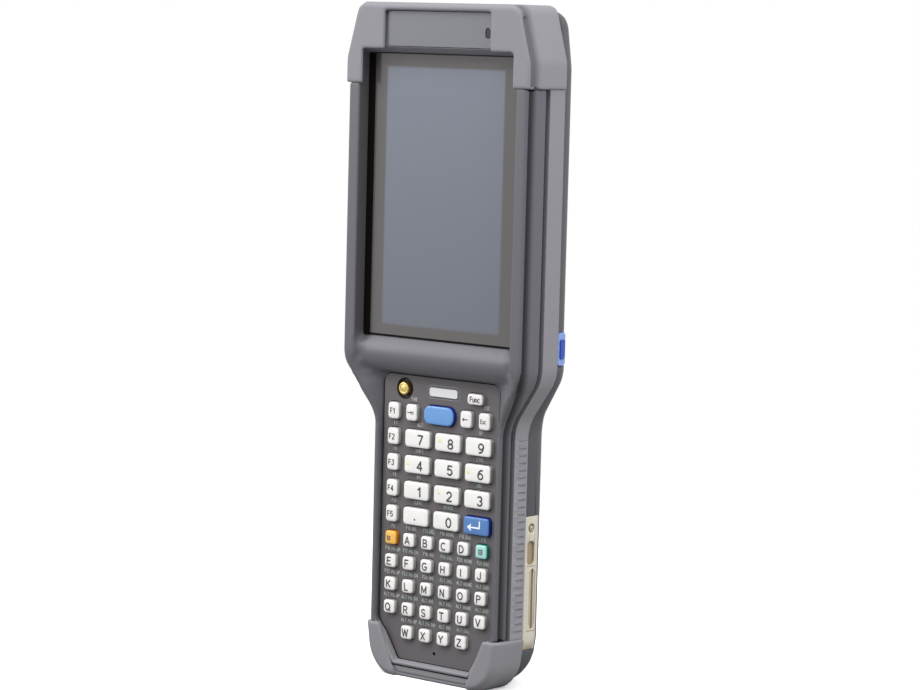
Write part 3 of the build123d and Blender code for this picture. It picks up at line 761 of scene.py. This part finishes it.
# words or signs on a key, their size, and how far they stand off its middle
singleKeys = {
    **{"key_f%d" % number: ("small", "F%d" % number, 1.75, (-0.35, -0.1)) for number in range(1, 6)},
    "key_tab": ("small", "tabSign", 1.0, (-0.3, 0.0)),
    "key_backspace": ("small", "backSign", 1.0, (-0.3, 0.0)),
    "key_escape": ("small", "Esc", 1.3, (-0.3, 0.0)),
    "key_function": ("small", "Func", 1.6, (0.0, 0.0)),
    **{"key_" + digit: ("number", digit, 3.0, (1.5, -0.2)) for digit in "7894561230"},
    "key_point": ("number", "dotSign", 1.0, (-0.2, -0.9)),
    "key_enter": ("enter", "returnSign", 1.0, (-0.7, 0.0)),
    "key_scan": ("scan", "", 0, (0, 0)),
    "key_orange": ("orange", "boxSign", 1.5, (-0.7, -0.2)),
    "key_green": ("green", "boxSign", 1.7, (0.0, 0.0)),
}

letterRows = {
    "key_letters_a_to_d": "ABCD",
    "key_letters_e_to_j": "EFGHIJ",
    "key_letters_k_to_p": "KLMNOP",
    "key_letters_q_to_v": "QRSTUV",
    "key_letters_w_to_z": "WXYZ",
}
letterValues = {"height": 2.35, "shift": (-0.35, -0.1), "width": 5.2, "weight": 0.1, "stretch": 1.2}
legendValues = {"weight": 0.102, "numberStretch": 1.2}


def capSpots(node):
    # middle, width and height of every cap on a node, without the lap of its skirt
    low, high = boxMm(node)
    lap = capValues["lap"]
    x, z = middleOf(node)
    height = high[2] - low[2] - 2 * lap
    if node not in letterRows:
        return [(x, z, high[0] - low[0] - 2 * lap, height)]
    width, count = letterValues["width"], len(letterRows[node])
    pitch = (high[0] - low[0] - 2 * lap - width) / (count - 1)
    return [(low[0] + lap + width / 2 + index * pitch, z, width, height) for index in range(count)]


def roundedLoop(width, height, corner, steps):
    points = []
    for index, (signX, signZ) in enumerate(((1, 1), (-1, 1), (-1, -1), (1, -1))):
        centre = (signX * (width / 2 - corner), signZ * (height / 2 - corner))
        for step in range(steps + 1):
            angle = math.radians(90 * index + 90 * step / steps)
            points.append((centre[0] + corner * math.cos(angle), centre[1] + corner * math.sin(angle)))
    return points


def bridge(builder, first, second):
    # faces between two rings; a ring of one point is a pole
    count = max(len(first), len(second))
    for step in range(count):
        after = (step + 1) % count
        corners = [first[step % len(first)], first[after % len(first)]]
        corners += [second[after % len(second)], second[step % len(second)]]
        builder.faces.new(list(dict.fromkeys(corners)))


def outwardMesh(builder, name):
    bmesh.ops.recalc_face_normals(builder, faces=builder.faces)
    return builtMesh(builder, name)


def capMesh(width, height, corner, top):
    values = capValues
    radius, steps = values["round"], values["roundSteps"]
    wall = top + values["crown"] + radius
    # how far in, how deep and how large each ring is, from the skirt to the middle of the crown
    rings = [(0.0, depths["keySkirt"], 1.0), (values["taper"], wall, 1.0)]
    for step in range(1, steps + 1):
        angle = math.radians(90 * step / steps)
        inset = values["taper"] + radius * (1 - math.cos(angle))
        rings.append((inset, wall - radius * math.sin(angle), 1.0))
    rings += [(inset, top + values["crown"] * share ** 2, share) for share in (0.8, 0.55, 0.25)]
    builder = bmesh.new()
    loops = []
    for inset, depth, share in rings:
        wide, high, bend = width - 2 * inset, height - 2 * inset, max(values["sharpest"], corner - inset)
        outline = roundedLoop(wide, high, bend, values["cornerSteps"])
        loops.append([builder.verts.new((x * share * mm, depth * mm, z * share * mm)) for x, z in outline])
    for first, second in zip(loops, loops[1:]):
        bridge(builder, first, second)
    builder.faces.new(loops[-1])
    builder.faces.new(loops[0][::-1])
    mesh = outwardMesh(builder, "cap")
    smoothMesh(mesh, "stroke")
    return mesh


def bow(x, z, across, along, start, end, steps=8):
    points = []
    for index in range(steps + 1):
        angle = math.radians(start + (end - start) * index / steps)
        points.append((x + across * math.cos(angle), z + along * math.sin(angle)))
    return points


bowlP = [(0, 0), (0, 1), (0.3, 1)] + bow(0.3, 0.74, 0.25, 0.26, 90, -90) + [(0, 0.48)]
ringO = bow(0.36, 0.5, 0.36, 0.5, 0, 360, 18)

# plain strokes of each letter and digit, one unit high
glyphs = {
    "A": [[(0, 0), (0.34, 1), (0.68, 0)], [(0.12, 0.32), (0.56, 0.32)]],
    "B": [[(0.3, 0.52), (0, 0.52), (0, 1), (0.3, 1)] + bow(0.3, 0.76, 0.22, 0.24, 90, -90),
          [(0, 0.52), (0, 0), (0.32, 0)] + bow(0.32, 0.26, 0.26, 0.26, -90, 90)],
    "C": [bow(0.36, 0.5, 0.36, 0.5, 50, 310, 14)],
    "D": [[(0, 0), (0, 1), (0.22, 1)] + bow(0.22, 0.5, 0.4, 0.5, 90, -90, 10) + [(0, 0)]],
    "E": [[(0.52, 1), (0, 1), (0, 0), (0.54, 0)], [(0, 0.52), (0.46, 0.52)]],
    "F": [[(0.52, 1), (0, 1), (0, 0)], [(0, 0.5), (0.44, 0.5)]],
    "G": [bow(0.36, 0.5, 0.36, 0.5, 50, 345, 14) + [(0.7, 0.46), (0.4, 0.46)]],
    "H": [[(0, 0), (0, 1)], [(0.56, 0), (0.56, 1)], [(0, 0.52), (0.56, 0.52)]],
    "I": [[(0, 0), (0, 1)]],
    "J": [[(0.44, 1), (0.44, 0.24)] + bow(0.22, 0.24, 0.22, 0.24, 0, -180)],
    "K": [[(0, 0), (0, 1)], [(0.54, 1), (0, 0.38)], [(0.2, 0.6), (0.58, 0)]],
    "L": [[(0, 1), (0, 0), (0.48, 0)]],
    "M": [[(0, 0), (0, 1), (0.35, 0.15), (0.7, 1), (0.7, 0)]],
    "N": [[(0, 0), (0, 1), (0.56, 0), (0.56, 1)]],
    "O": [ringO],
    "P": [bowlP],
    "Q": [ringO, [(0.44, 0.22), (0.74, -0.06)]],
    "R": [bowlP, [(0.28, 0.48), (0.58, 0)]],
    "S": [bow(0.28, 0.745, 0.26, 0.255, 35, 270, 9) + bow(0.28, 0.245, 0.28, 0.245, 90, -145, 9)],
    "T": [[(0, 1), (0.62, 1)], [(0.31, 1), (0.31, 0)]],
    "U": [[(0, 1), (0, 0.28)] + bow(0.28, 0.28, 0.28, 0.28, 180, 360) + [(0.56, 1)]],
    "V": [[(0, 1), (0.33, 0), (0.66, 1)]],
    "W": [[(0, 1), (0.21, 0), (0.44, 0.95), (0.67, 0), (0.88, 1)]],
    "X": [[(0, 0), (0.6, 1)], [(0, 1), (0.6, 0)]],
    "Y": [[(0, 1), (0.31, 0.48), (0.62, 1)], [(0.31, 0.48), (0.31, 0)]],
    "Z": [[(0, 1), (0.56, 1), (0, 0), (0.58, 0)]],
    "0": [bow(0.28, 0.5, 0.28, 0.5, 0, 360, 18)],
    "1": [[(0, 0.76), (0.24, 1), (0.24, 0)]],
    "2": [bow(0.28, 0.72, 0.27, 0.28, 165, -38, 10) + [(0, 0), (0.56, 0)]],
    "3": [bow(0.27, 0.755, 0.25, 0.245, 150, -90, 9) + bow(0.27, 0.255, 0.28, 0.255, 90, -150, 9)],
    "4": [[(0.42, 0), (0.42, 1), (0, 0.28), (0.58, 0.28)]],
    "5": [[(0.52, 1), (0.08, 1), (0.04, 0.52)] + bow(0.27, 0.32, 0.28, 0.32, 130, -150, 10)],
    "6": [bow(0.28, 0.31, 0.28, 0.31, 0, 360, 14), bow(0.44, 0.31, 0.44, 0.69, 180, 80, 7)],
    "7": [[(0, 1), (0.56, 1), (0.18, 0)]],
    "8": [bow(0.28, 0.755, 0.24, 0.245, 0, 360, 14), bow(0.28, 0.255, 0.28, 0.255, 0, 360, 14)],
    "9": [bow(0.28, 0.69, 0.28, 0.31, 0, 360, 14), bow(0.12, 0.69, 0.44, 0.69, 0, -100, 7)],
    "n": [[(0, 0), (0, 0.7)], [(0, 0.42)] + bow(0.22, 0.42, 0.22, 0.28, 180, 0) + [(0.44, 0)]],
    "u": [[(0, 0.7), (0, 0.25)] + bow(0.22, 0.25, 0.22, 0.25, 180, 360) + [(0.44, 0.7)]],
    "c": [bow(0.25, 0.35, 0.25, 0.35, 50, 310, 10)],
    "s": [bow(0.2, 0.52, 0.19, 0.18, 35, 270, 7) + bow(0.2, 0.17, 0.2, 0.17, 90, -145, 7)],
}
glyphSpace = 0.24


def runOut(run, reach):
    # the first point of a run moves outwards along it
    first, second = Vector(run[0]), Vector(run[1])
    run[0] = tuple(first + (first - second).normalized() * reach)


def splitAtCorners(points, reach):
    # straight strokes part at a sharp corner and run a little past it, so that the corner fills
    runs = [[points[0]]]
    for before, corner, after in zip(points, points[1:], points[2:]):
        runs[-1].append(corner)
        first = Vector((corner[0] - before[0], corner[1] - before[1]))
        second = Vector((after[0] - corner[0], after[1] - corner[1]))
        if first.length and second.length and first.angle(second) > math.radians(50):
            runs.append([corner])
    runs[-1].append(points[-1])
    closed = (Vector(points[0]) - Vector(points[-1])).length < 1e-6
    if closed and len(runs) == 1:
        return runs
    for run in runs:
        runOut(run, reach)
        run.reverse()
        runOut(run, reach)
        run.reverse()
    return runs


def curveMesh(name, paths, closed, **settings):
    curve = bpy.data.curves.new(name, "CURVE")
    for key, value in settings.items():
        setattr(curve, key, value)
    for path in paths:
        spline = curve.splines.new("POLY")
        spline.points.add(len(path) - 1)
        for point, (x, z) in zip(spline.points, path):
            point.co = (x, z, 0, 1)
        spline.use_cyclic_u = closed
    return evaluatedMesh(newObject(name, curve))


def strokeMesh(paths, weight, sides=1, closed=False):
    # round strokes along flat paths; the mesh lies in x and y, and stands up to 1 to both sides
    mesh = curveMesh("stroke", paths, closed, dimensions="3D", bevel_depth=weight,
                     bevel_resolution=sides, use_fill_caps=True)
    for vertex in mesh.vertices:
        vertex.co.z /= weight
    return mesh


def divided(run, longest=0.28):
    # points along a run, so that a long stroke follows the crown of its key
    points = [run[0]]
    for start, end in zip(run, run[1:]):
        count = max(1, math.ceil(math.dist(start, end) / longest))
        for step in range(1, count + 1):
            points.append(tuple(a + (b - a) * step / count for a, b in zip(start, end)))
    return points


def wordMesh(words, height, weight, stretch=1.0, sides=1, space=glyphSpace):
    pen = 0.0
    paths = []
    for sign in words:
        strokes = glyphs.get(sign, [])
        for stroke in strokes:
            for run in splitAtCorners(stroke, weight * 0.45):
                paths.append([((pen + x * stretch), z) for x, z in divided(run)])
        pen += max((x for stroke in strokes for x, z in stroke), default=0.3) * stretch + space
    mesh = strokeMesh(paths, weight, sides)
    middle = (pen - space) / 2
    for vertex in mesh.vertices:
        x, z, out = vertex.co
        vertex.co = ((x - middle) * height, (z - 0.5) * height, out)
    return mesh


def layFlat(mesh, x, z, front, rise):
    # turn a flat mesh to face the front
    for vertex in mesh.vertices:
        u, v, out = vertex.co
        vertex.co = ((x + u) * mm, (front - rise * out) * mm, (z + v) * mm)
    return mesh


def barsMesh(bars):
    # flat bars, each a closed list of corners
    builder = bmesh.new()
    for corners in bars:
        front, back = ([builder.verts.new((x, y, side)) for x, y in corners] for side in (1.0, -1.0))
        builder.faces.new(front)
        builder.faces.new(back[::-1])
        bridge(builder, back, front)
    return outwardMesh(builder, "sign")


def rectangle(x0, y0, x1, y1):
    return [(x0, y0), (x1, y0), (x1, y1), (x0, y1)]


# signs as flat bars, for a size of 1
signs = {
    "tabSign": [
        rectangle(-1.3, -0.16, 0.3, 0.16), [(0.2, -0.6), (1.0, 0), (0.2, 0.6)],
        rectangle(1.1, -0.65, 1.35, 0.65),
    ],
    "backSign": [rectangle(-0.4, -0.16, 1.3, 0.16), [(-0.3, 0.65), (-1.2, 0), (-0.3, -0.65)]],
    "dotSign": [bow(0, 0, 0.32, 0.32, 0, 330, 11)],
    "returnSign": [
        rectangle(-1.9, -0.75, 2.6, -0.25), rectangle(2.1, -0.25, 2.6, 1.8),
        [(-1.3, 0.75), (-3.1, -0.5), (-1.3, -1.75), (-1.3, -1.15), (-2.15, -0.5), (-1.3, 0.15)],
    ],
    "boxSign": [
        rectangle(-0.5, -0.5, 0.5, -0.3), rectangle(-0.5, 0.3, 0.5, 0.5),
        rectangle(-0.5, -0.3, -0.3, 0.3), rectangle(0.3, -0.3, 0.5, 0.3),
        rectangle(-0.14, -0.14, 0.14, 0.14),
    ],
    "yellowSign": [[(0.0, 0.75), (-0.75, -0.5), (0.75, -0.5)]],
}

# how far a printed sign stands up, and its middle above the surface
printValues = {"depth": 0.03, "lift": 0.02}


def standOnKey(legend, spot, shift, top):
    # turn a flat legend to face the front and lay it on the crowned top of its key
    x, z, width, height = spot
    for vertex in legend.vertices:
        u, v, out = vertex.co
        across, along = u + shift[0], v + shift[1]
        rim = max(min(1.0, (2 * across / width) ** 2), min(1.0, (2 * along / height) ** 2))
        front = printValues["lift"] + printValues["depth"] * out
        vertex.co = ((x + across) * mm, (top + capValues["crown"] * rim - front) * mm, (z + along) * mm)
    return legend


def addMeshes(name, parts):
    # parts: list of (mesh, material index)
    builder = bmesh.new()
    for mesh, index in parts:
        before = len(builder.faces)
        builder.from_mesh(mesh)
        builder.faces.ensure_lookup_table()
        for face in builder.faces[before:]:
            face.material_index = index
    return builtMesh(builder, name)


def repeatTree(inRow):
    # one piece, again and again in an even row, or at every point of the carrier
    tree = bpy.data.node_groups.new("evenRow" if inRow else "atPoints", "GeometryNodeTree")
    sockets = {"Geometry": "Geometry", "Piece": "Object", "Material": "Material"}
    if inRow:
        sockets.update({"Count": "Int", "First": "Vector", "Step": "Vector"})
    for label, kind in sockets.items():
        tree.interface.new_socket(label, in_out="INPUT", socket_type="NodeSocket" + kind)
    tree.interface.new_socket("Geometry", in_out="OUTPUT", socket_type="NodeSocketGeometry")
    given = addNode(tree, "NodeGroupInput").outputs
    points = given["Geometry"]
    if inRow:
        line = {"Count": given["Count"], "Start Location": given["First"], "Offset": given["Step"]}
        points = addNode(tree, "GeometryNodeMeshLine", line, mode="OFFSET").outputs[0]
    piece = addNode(tree, "GeometryNodeObjectInfo", {"Object": given["Piece"]}).outputs["Geometry"]
    copies = addNode(tree, "GeometryNodeInstanceOnPoints", {"Points": points, "Instance": piece}).outputs[0]
    real = addNode(tree, "GeometryNodeRealizeInstances", {0: copies}).outputs[0]
    painted = addNode(tree, "GeometryNodeSetMaterial", {"Geometry": real, "Material": given["Material"]})
    addNode(tree, "NodeGroupOutput", {0: painted.outputs[0]})
    return tree


def repeated(name, tree, values, spots=()):
    dots = bpy.data.meshes.new("dots")
    dots.from_pydata(spots, [], [])
    carrier = newObject("carrier", dots)
    modifier = carrier.modifiers.new(tree.name, "NODES")
    modifier.node_group = tree
    sockets = {item.name: item.identifier for item in tree.interface.items_tree if item.in_out == "INPUT"}
    for label, value in values.items():
        modifier[sockets[label]] = value
    mesh = evaluatedMesh(carrier)
    mesh.name = name
    return mesh


def makeLetterKeys():
    corner, finish, slotName = keyStyles["letter"]
    values, top = letterValues, depths["keyTop"]
    tree = repeatTree(True)
    for node, letters in letterRows.items():
        spots = capSpots(node)
        x, z, width, height = spots[0]
        cap = newObject("letterCap", capMesh(width, height, corner, top))
        caps = repeated("letterCaps", tree, {
            "Piece": cap, "Material": finishes[finish], "Count": len(letters),
            "First": (x * mm, 0.0, z * mm), "Step": ((spots[1][0] - x) * mm, 0.0, 0.0),
        })
        bpy.data.objects.remove(cap)
        parts = [(caps, 0)]
        for spot, letter in zip(spots, letters):
            legend = wordMesh(letter, values["height"], values["weight"], values["stretch"])
            parts.append((standOnKey(legend, spot, values["shift"], top), 1))
        name = node.replace("key_", "caps_")
        addPiece(name, addMeshes(name, parts), (finish, "inkGrey"), node, slotName, node)


yellowSigns = {"key_8": (-3.1, 0.7), "key_2": (-3.1, 0.7), "key_4": (-3.8, 0.3), "key_6": (-3.8, 0.3)}


def makeSingleKeys():
    for node, (kind, words, size, shift) in singleKeys.items():
        corner, finish, slotName = keyStyles[kind]
        spot, top = capSpots(node)[0], boxMm(node)[0][1]
        x, z, width, height = spot
        cap = capMesh(width, height, corner, top)
        for vertex in cap.vertices:
            vertex.co.x += x * mm
            vertex.co.z += z * mm
        parts = [(cap, 0)]
        if words in signs:
            bars = [[(u * size, v * size) for u, v in bar] for bar in signs[words]]
            parts.append((standOnKey(barsMesh(bars), spot, shift, top), 1))
        elif words:
            stretch = legendValues["numberStretch"] if kind == "number" else 1.0
            legend = wordMesh(words, size, legendValues["weight"], stretch)
            parts.append((standOnKey(legend, spot, shift, top), 1))
        if node in yellowSigns:
            sign = barsMesh(signs["yellowSign"])
            parts.append((standOnKey(sign, spot, yellowSigns[node], top), 2))
        ink = "inkWhite" if kind == "enter" else "inkGrey"
        name = node.replace("key_", "cap_")
        addPiece(name, addMeshes(name, parts), (finish, ink, "inkYellow"), node, slotName, node)


panelValues = {
    "halfWidth": 25.8,
    "top": 102.7,
    "foot": 5.5,
    "lap": 0.8,
    "gap": 0.22,
    "front": -8.0,
    "back": -6.8,
    "edge": 0.06,
    "window": (12.4, 3.0, 0.8),    # width, height and corner of the status window's hole
    "mic": (-0.5, 9.3, 0.7),    # place and radius of the microphone hole
}
powerValues = {"hole": 3.7, "wellR": 3.68, "knobR": 2.2, "clear": 0.15}


def filletLoop(points, steps=5):
    # points: (x, z, radius)
    loop = []
    for index, (x, z, radius) in enumerate(points):
        if radius <= 0:
            loop.append((x, z))
            continue
        corner = Vector((x, z))
        before = (Vector(points[index - 1][:2]) - corner).normalized()
        after = (Vector(points[(index + 1) % len(points)][:2]) - corner).normalized()
        half = before.angle(after) / 2
        reach = radius / math.tan(half)
        middle = corner + (before + after).normalized() * (radius / math.sin(half))
        start = corner + before * reach - middle
        swing = start.angle_signed(corner + after * reach - middle)
        for step in range(steps + 1):
            turn = Matrix.Rotation(-swing * step / steps, 2)
            loop.append(tuple(middle + turn @ start))
    return loop


def plateFromLoops(name, loops, front, back, edge):
    mesh = curveMesh(name, loops, True, dimensions="2D", fill_mode="BOTH",
                     extrude=(back - front) / 2 - edge, bevel_depth=edge, bevel_resolution=1)
    return layFlat(mesh, 0, 0, (front + back) / 2, 1)


def panelOutline(lap):
    # x, z and radius of every corner, from the top right round the foot to the top left
    values = panelValues
    side = values["halfWidth"] + lap
    top, foot = values["top"] + lap, values["foot"]
    half = [
        (side, top, 3.0),
        (side, foot + 13.0, 3.0),
        (side - 4.6, foot + 7.6, 6.0),
        (side - 9.4, foot - lap, 1.5),
    ]
    return half + [(-x, z, radius) for x, z, radius in reversed(half)]


def makePanel():
    values = panelValues
    gap = values["gap"]
    loops = [filletLoop(panelOutline(values["lap"]))]

    def addHole(x, z, width, height, corner):
        loops.append([(x + u, z + v) for u, v in roundedLoop(width, height, corner, 4)])

    for node in (*singleKeys, *letterRows):
        kind = singleKeys[node][0] if node in singleKeys else "letter"
        for x, z, width, height in capSpots(node):
            addHole(x, z, width + 2 * gap, height + 2 * gap, keyStyles[kind][0] + gap)
    loops.append(bow(*middleOf("key_power"), powerValues["hole"], powerValues["hole"], 0, 351, 39))
    addHole(*middleOf("status_window"), *values["window"])
    x, z, radius = values["mic"]
    loops.append(bow(x, z, radius, radius, 0, 340, 17))
    mesh = plateFromLoops("keypadFascia", loops, values["front"], values["back"], values["edge"])
    smoothMesh(mesh, "turned")
    addPiece("keypadFascia", mesh, ("panelGrey",), "terminal", "panel_grey", "keypad_panel")


def offsetPath(points, distance):
    # the same path, set off to its left
    moved = []
    for index, point in enumerate(points):
        sides = []
        for start, end in ((index - 1, index), (index, index + 1)):
            if start >= 0 and end < len(points):
                run = Vector(points[end]) - Vector(points[start])
                sides.append(Vector((-run.y, run.x)).normalized())
        mitre = sides[0] + sides[-1]
        moved.append(tuple(Vector(point) + mitre * (distance / mitre.dot(sides[0]))))
    return moved


# lip round the foot of the keypad: how far out its middle runs, half width, rise, and where it starts
lipValues = {
    "out": 0.95, "half": 0.66, "rise": 0.6, "top": 17.0,
    "lineOut": 1.85, "line": 0.2, "lineRise": 0.08, "rimRise": 0.1,
}


def makeLip():
    values = lipValues
    edge = panelOutline(0.0)
    edge[0], edge[-1] = ((x, values["top"], 0) for x, z, radius in (edge[0], edge[-1]))

    def along(out):
        # the path runs down the right side, so outwards is to its left
        moved = offsetPath([corner[:2] for corner in edge], out)
        return filletLoop([(x, z, corner[2]) for (x, z), corner in zip(moved, edge)])

    bead = strokeMesh([along(values["out"])], values["half"], sides=4)
    layFlat(bead, 0, 0, depths["rimFace"], values["rise"])
    smoothMesh(bead, "stroke")
    addPiece("footLip", bead, ("rubberGrey",), "terminal", "rubber_grey")
    seams = strokeMesh([along(values["lineOut"])], values["line"])
    layFlat(seams, 0, 0, depths["rimFace"], values["lineRise"])
    rim = strokeMesh([filletLoop(panelOutline(-0.05))], values["line"], closed=True)
    layFlat(rim, 0, 0, depths["panelFace"], values["rimRise"])
    mesh = addMeshes("keypadSeams", [(seams, 0), (rim, 0)])
    smoothMesh(mesh, "stroke")
    addPiece("keypadSeams", mesh, ("sealBlack",), "terminal", "seal_black")


def turnedMesh(name, profile, x=0, z=0, segments=40, lobes=6):
    # profile: radius, depth and how much it is lobed; it starts or ends on the axis or closes on itself
    builder = bmesh.new()
    rings = []
    for radius, depth, *lobed in profile:
        ring = []
        for step in range(segments if radius else 1):
            angle = math.tau * step / segments
            out = radius * (1 + sum(lobed) * math.cos(lobes * angle))
            ring.append(((x + out * math.cos(angle)) * mm, depth * mm, (z + out * math.sin(angle)) * mm))
        rings.append([builder.verts.new(corner) for corner in ring])
    pairs = list(zip(rings, rings[1:]))
    if len(rings[0]) > 1:
        pairs.append((rings[-1], rings[0]))
    for first, second in pairs:
        bridge(builder, first, second)
    mesh = outwardMesh(builder, name)
    smoothMesh(mesh, "turned")
    return mesh


def makePowerKey():
    # a gold knob in a well that is painted dark brown as painted shade
    low, high = boxMm("key_power")
    x, z = middleOf("key_power")
    top, back = low[1], high[1]
    radius, wide, face = powerValues["knobR"], powerValues["wellR"], depths["panelFace"]
    inner = radius + powerValues["clear"]
    well = turnedMesh("powerWell", [
        (inner, face + 0.9), (inner + 0.75, face + 0.9), (inner + 1.15, face - 0.04),
        (wide, face - 0.04), (wide, face + 1.1), (inner, face + 1.1),
    ], x, z)
    addPiece("powerWell", well, ("wellBrown",), "terminal", "seal_black")
    dish = ((0, 0), (0.5, 0.02), (0.6, 0.16), (0.7, 0.02), (0.86, 0.06), (0.97, 0.25), (1, 0.5))
    profile = [(radius * share, top + drop) for share, drop in dish]
    knob = turnedMesh("powerKnob", profile + [(radius, back), (0, back)], x, z)
    addPiece("powerKnob", knob, ("buttonGold",), "key_power", "contact_gold", "key_power")


# width, height and corner of the line printed round the status window, its half width and rise
windowLine = {"loop": (13.8, 4.4, 1.3), "weight": 0.13, "rise": 0.04}


def makeWindowFrame():
    line = strokeMesh([roundedLoop(*windowLine["loop"], 5)], windowLine["weight"], closed=True)
    layFlat(line, *middleOf("status_window"), depths["panelFace"], windowLine["rise"])
    addPiece("windowFrame", line, ("inkDim",), "terminal", "panel_grey")


# small second legends printed on the panel, above the keys
markValues = {
    "height": 1.05, "weight": 0.13, "above": 1.5, "stretch": 0.9, "space": 0.3, "rise": 0.03,
    "first": 12, "last": 24,    # the function numbers above the letters
}
markWords = ("INS", "DEL", "HOME", "END", "PG UP", "PG DN")
markNumbers = {
    "key_f2": "F7", "key_f3": "F8", "key_f4": "F9", "key_f5": "F10", "key_7": "ALT", "key_9": "UP",
    "key_4": "SHIFT", "key_6": "CTRL", "key_1": "INS", "key_3": "DEL", "key_point": "CAPS",
    "key_0": "SPACE", "key_tab": "TAB", "key_escape": "ESC", "key_orange": "F6", "key_green": "F11",
}


def makeMarks():
    values = markValues
    spots = [(capSpots(node)[0], word) for node, word in markNumbers.items()]
    letterSpots = [spot for node in letterRows for spot in capSpots(node)]
    for number, spot in enumerate(letterSpots, values["first"]):
        first = "F%d" % number if number <= values["last"] else "ALT"
        spots.append((spot, "%s %s" % (first, markWords[number % len(markWords)])))
    parts = []
    for index, ((x, z, width, height), word) in enumerate(spots):
        mark = wordMesh(word, values["height"], values["weight"], values["stretch"], 0, values["space"])
        layFlat(mark, x, z + height / 2 + values["above"], depths["panelFace"], values["rise"])
        parts.append((mark, index % 2))
    mesh = addMeshes("panelMarks", parts)
    addPiece("panelMarks", mesh, ("inkPale", "inkGreen"), "terminal", "panel_grey")


# signs on the battery's two sides: a boss with a dark eye, and lines beside the slot and the groove
batteryMarkValues = {
    "side": 28.4, "boss": (7.0, 54.0), "bossR": 0.45, "bossHalf": 0.42, "bossDepth": 0.55,
    "eyeR": 0.16, "eyeHalf": 0.2, "eyeSunk": 0.1, "line": 0.17, "lineRise": 0.05,
}
batteryLines = [
    [(4.9, 41.3), (9.0, 41.3)],
    [(6.55, 21.5), (6.55, 39.6)],
    [(9.15, 21.5), (9.15, 39.6)],
    [(5.4, 19.4), (9.6, 19.4)],
]


def laySide(mesh, side, face, rise):
    for vertex in mesh.vertices:
        u, v, out = vertex.co
        vertex.co = (side * (face + rise * out) * mm, u * mm, v * mm)
    if side < 0:
        mesh.flip_normals()
    return mesh


def makeBatteryMarks():
    values = batteryMarkValues
    face, deep = values["side"], values["bossDepth"]

    def ring(radius, half, sides):
        return strokeMesh([bow(*values["boss"], radius, radius, 0, 342, 19)], half, sides, closed=True)

    parts = []
    for side in (1, -1):
        lines = laySide(strokeMesh(batteryLines, values["line"], 0), side, face, values["lineRise"])
        boss = laySide(ring(values["bossR"], values["bossHalf"], 1), side, face - deep, deep)
        eye = ring(values["eyeR"], values["eyeHalf"], 0)
        laySide(eye, side, face - values["eyeSunk"], values["eyeR"])
        parts += [(lines, 1), (boss, 0), (eye, 2)]
    mesh = addMeshes("batterySigns", parts)
    smoothMesh(mesh, "stroke")
    addPiece("batterySigns", mesh, ("batteryPale", "inkTan", "wellBrown"), "battery", "battery_pale")


def makeRibs():
    values = ribValues
    front, back = values["front"], values["back"]
    size = (2 * values["sunk"] + 2 * values["rise"], back - front, values["height"])
    builder = bmesh.new()
    bmesh.ops.create_cube(builder, size=1.0)
    for vertex in builder.verts:
        vertex.co = [value * length * mm for value, length in zip(vertex.co, size)]
    bmesh.ops.bevel(builder, geom=builder.edges[:], offset=values["round"] * mm, segments=2, affect="EDGES")
    bar = builtMesh(builder, "rib")
    smoothMesh(bar, "turned")
    rib = newObject("rib", bar)
    tree = repeatTree(True)
    for name, side in (("ribsRight", 1), ("ribsLeft", -1)):
        first = (side * (values["face"] - values["sunk"]), (front + back) / 2, values["low"])
        mesh = repeated(name, tree, {
            "Piece": rib, "Material": finishes["rubberGrey"], "Count": values["count"],
            "First": [value * mm for value in first], "Step": (0.0, 0.0, values["pitch"] * mm),
        })
        addPiece(name, mesh, (), "terminal", "rubber_grey")
    bpy.data.objects.remove(rib)


glassShadeStripValues = {"inner": 31.2, "stand": 0.04, "foot": 0.95, "end": 0.3, "side": 0.05}


def makeGlassShadeStrips():
    # painted shade: a black strip down both edges of the glass and along its foot stands in for the
    # shadowed gap between glass and housing
    values = glassShadeStripValues
    low, high = boxMm("touch_glass")
    inner, stand = values["inner"], values["stand"]
    foot, top = low[2] + values["end"], high[2] - values["end"]
    loops = [
        rectangle(inner, foot, high[0] - values["side"], top),
        rectangle(low[0] + values["side"], foot, -inner, top),
        rectangle(-inner, foot, inner, low[2] + values["foot"]),
    ]
    mesh = plateFromLoops("glassEdges", loops, low[1] - stand, low[1] + stand, stand / 4)
    addPiece("glassEdges", mesh, ("edgeShadeBlack",), "terminal", "display_black")


screwValues = {"headR": 2.3, "shankR": 1.1, "socketR": 1.15, "socketDeep": 0.8, "lobe": 0.12, "bevel": 0.25}


def makeScrews():
    values = screwValues
    low, high = boxMm("housing_screws")
    head, back, tip = values["headR"], high[1], low[1]
    screw = newObject("screw", turnedMesh("screw", [
        (0, back - values["socketDeep"]),
        (values["socketR"] * 0.9, back - values["socketDeep"], values["lobe"]),
        (values["socketR"], back, values["lobe"]),
        (head - values["bevel"], back),
        (head, back - values["bevel"]),
        (head, back - 1.5),
        (values["shankR"], back - 1.6),
        (values["shankR"], tip + 0.5),
        (0, tip),
    ]))
    across, upward = (low[0] + head, high[0] - head), (low[2] + head, high[2] - head)
    spots = [(x * mm, 0, z * mm) for x in across for z in upward]
    values = {"Piece": screw, "Material": finishes["screwSteel"]}
    mesh = repeated("screws", repeatTree(False), values, spots)
    bpy.data.objects.remove(screw)
    addPiece("screws", mesh, (), "terminal", "screw_steel", "housing_screws")


addCamera()
addLamps()
addWorld()
addFloor()
print("stage ready")
finishes = makeFinishes()
dressPlainNodes()
print("finishes ready")
makeShells()
print("shells ready")
makePanel()
makeLetterKeys()
makeSingleKeys()
print("keys ready")
makePowerKey()
makeWindowFrame()
makeMarks()
makeLip()
makeGlassShadeStrips()
makeScrews()
makeRibs()
makeBatteryMarks()
print("small pieces ready")
bpy.context.scene.view_settings.view_transform = "Standard"
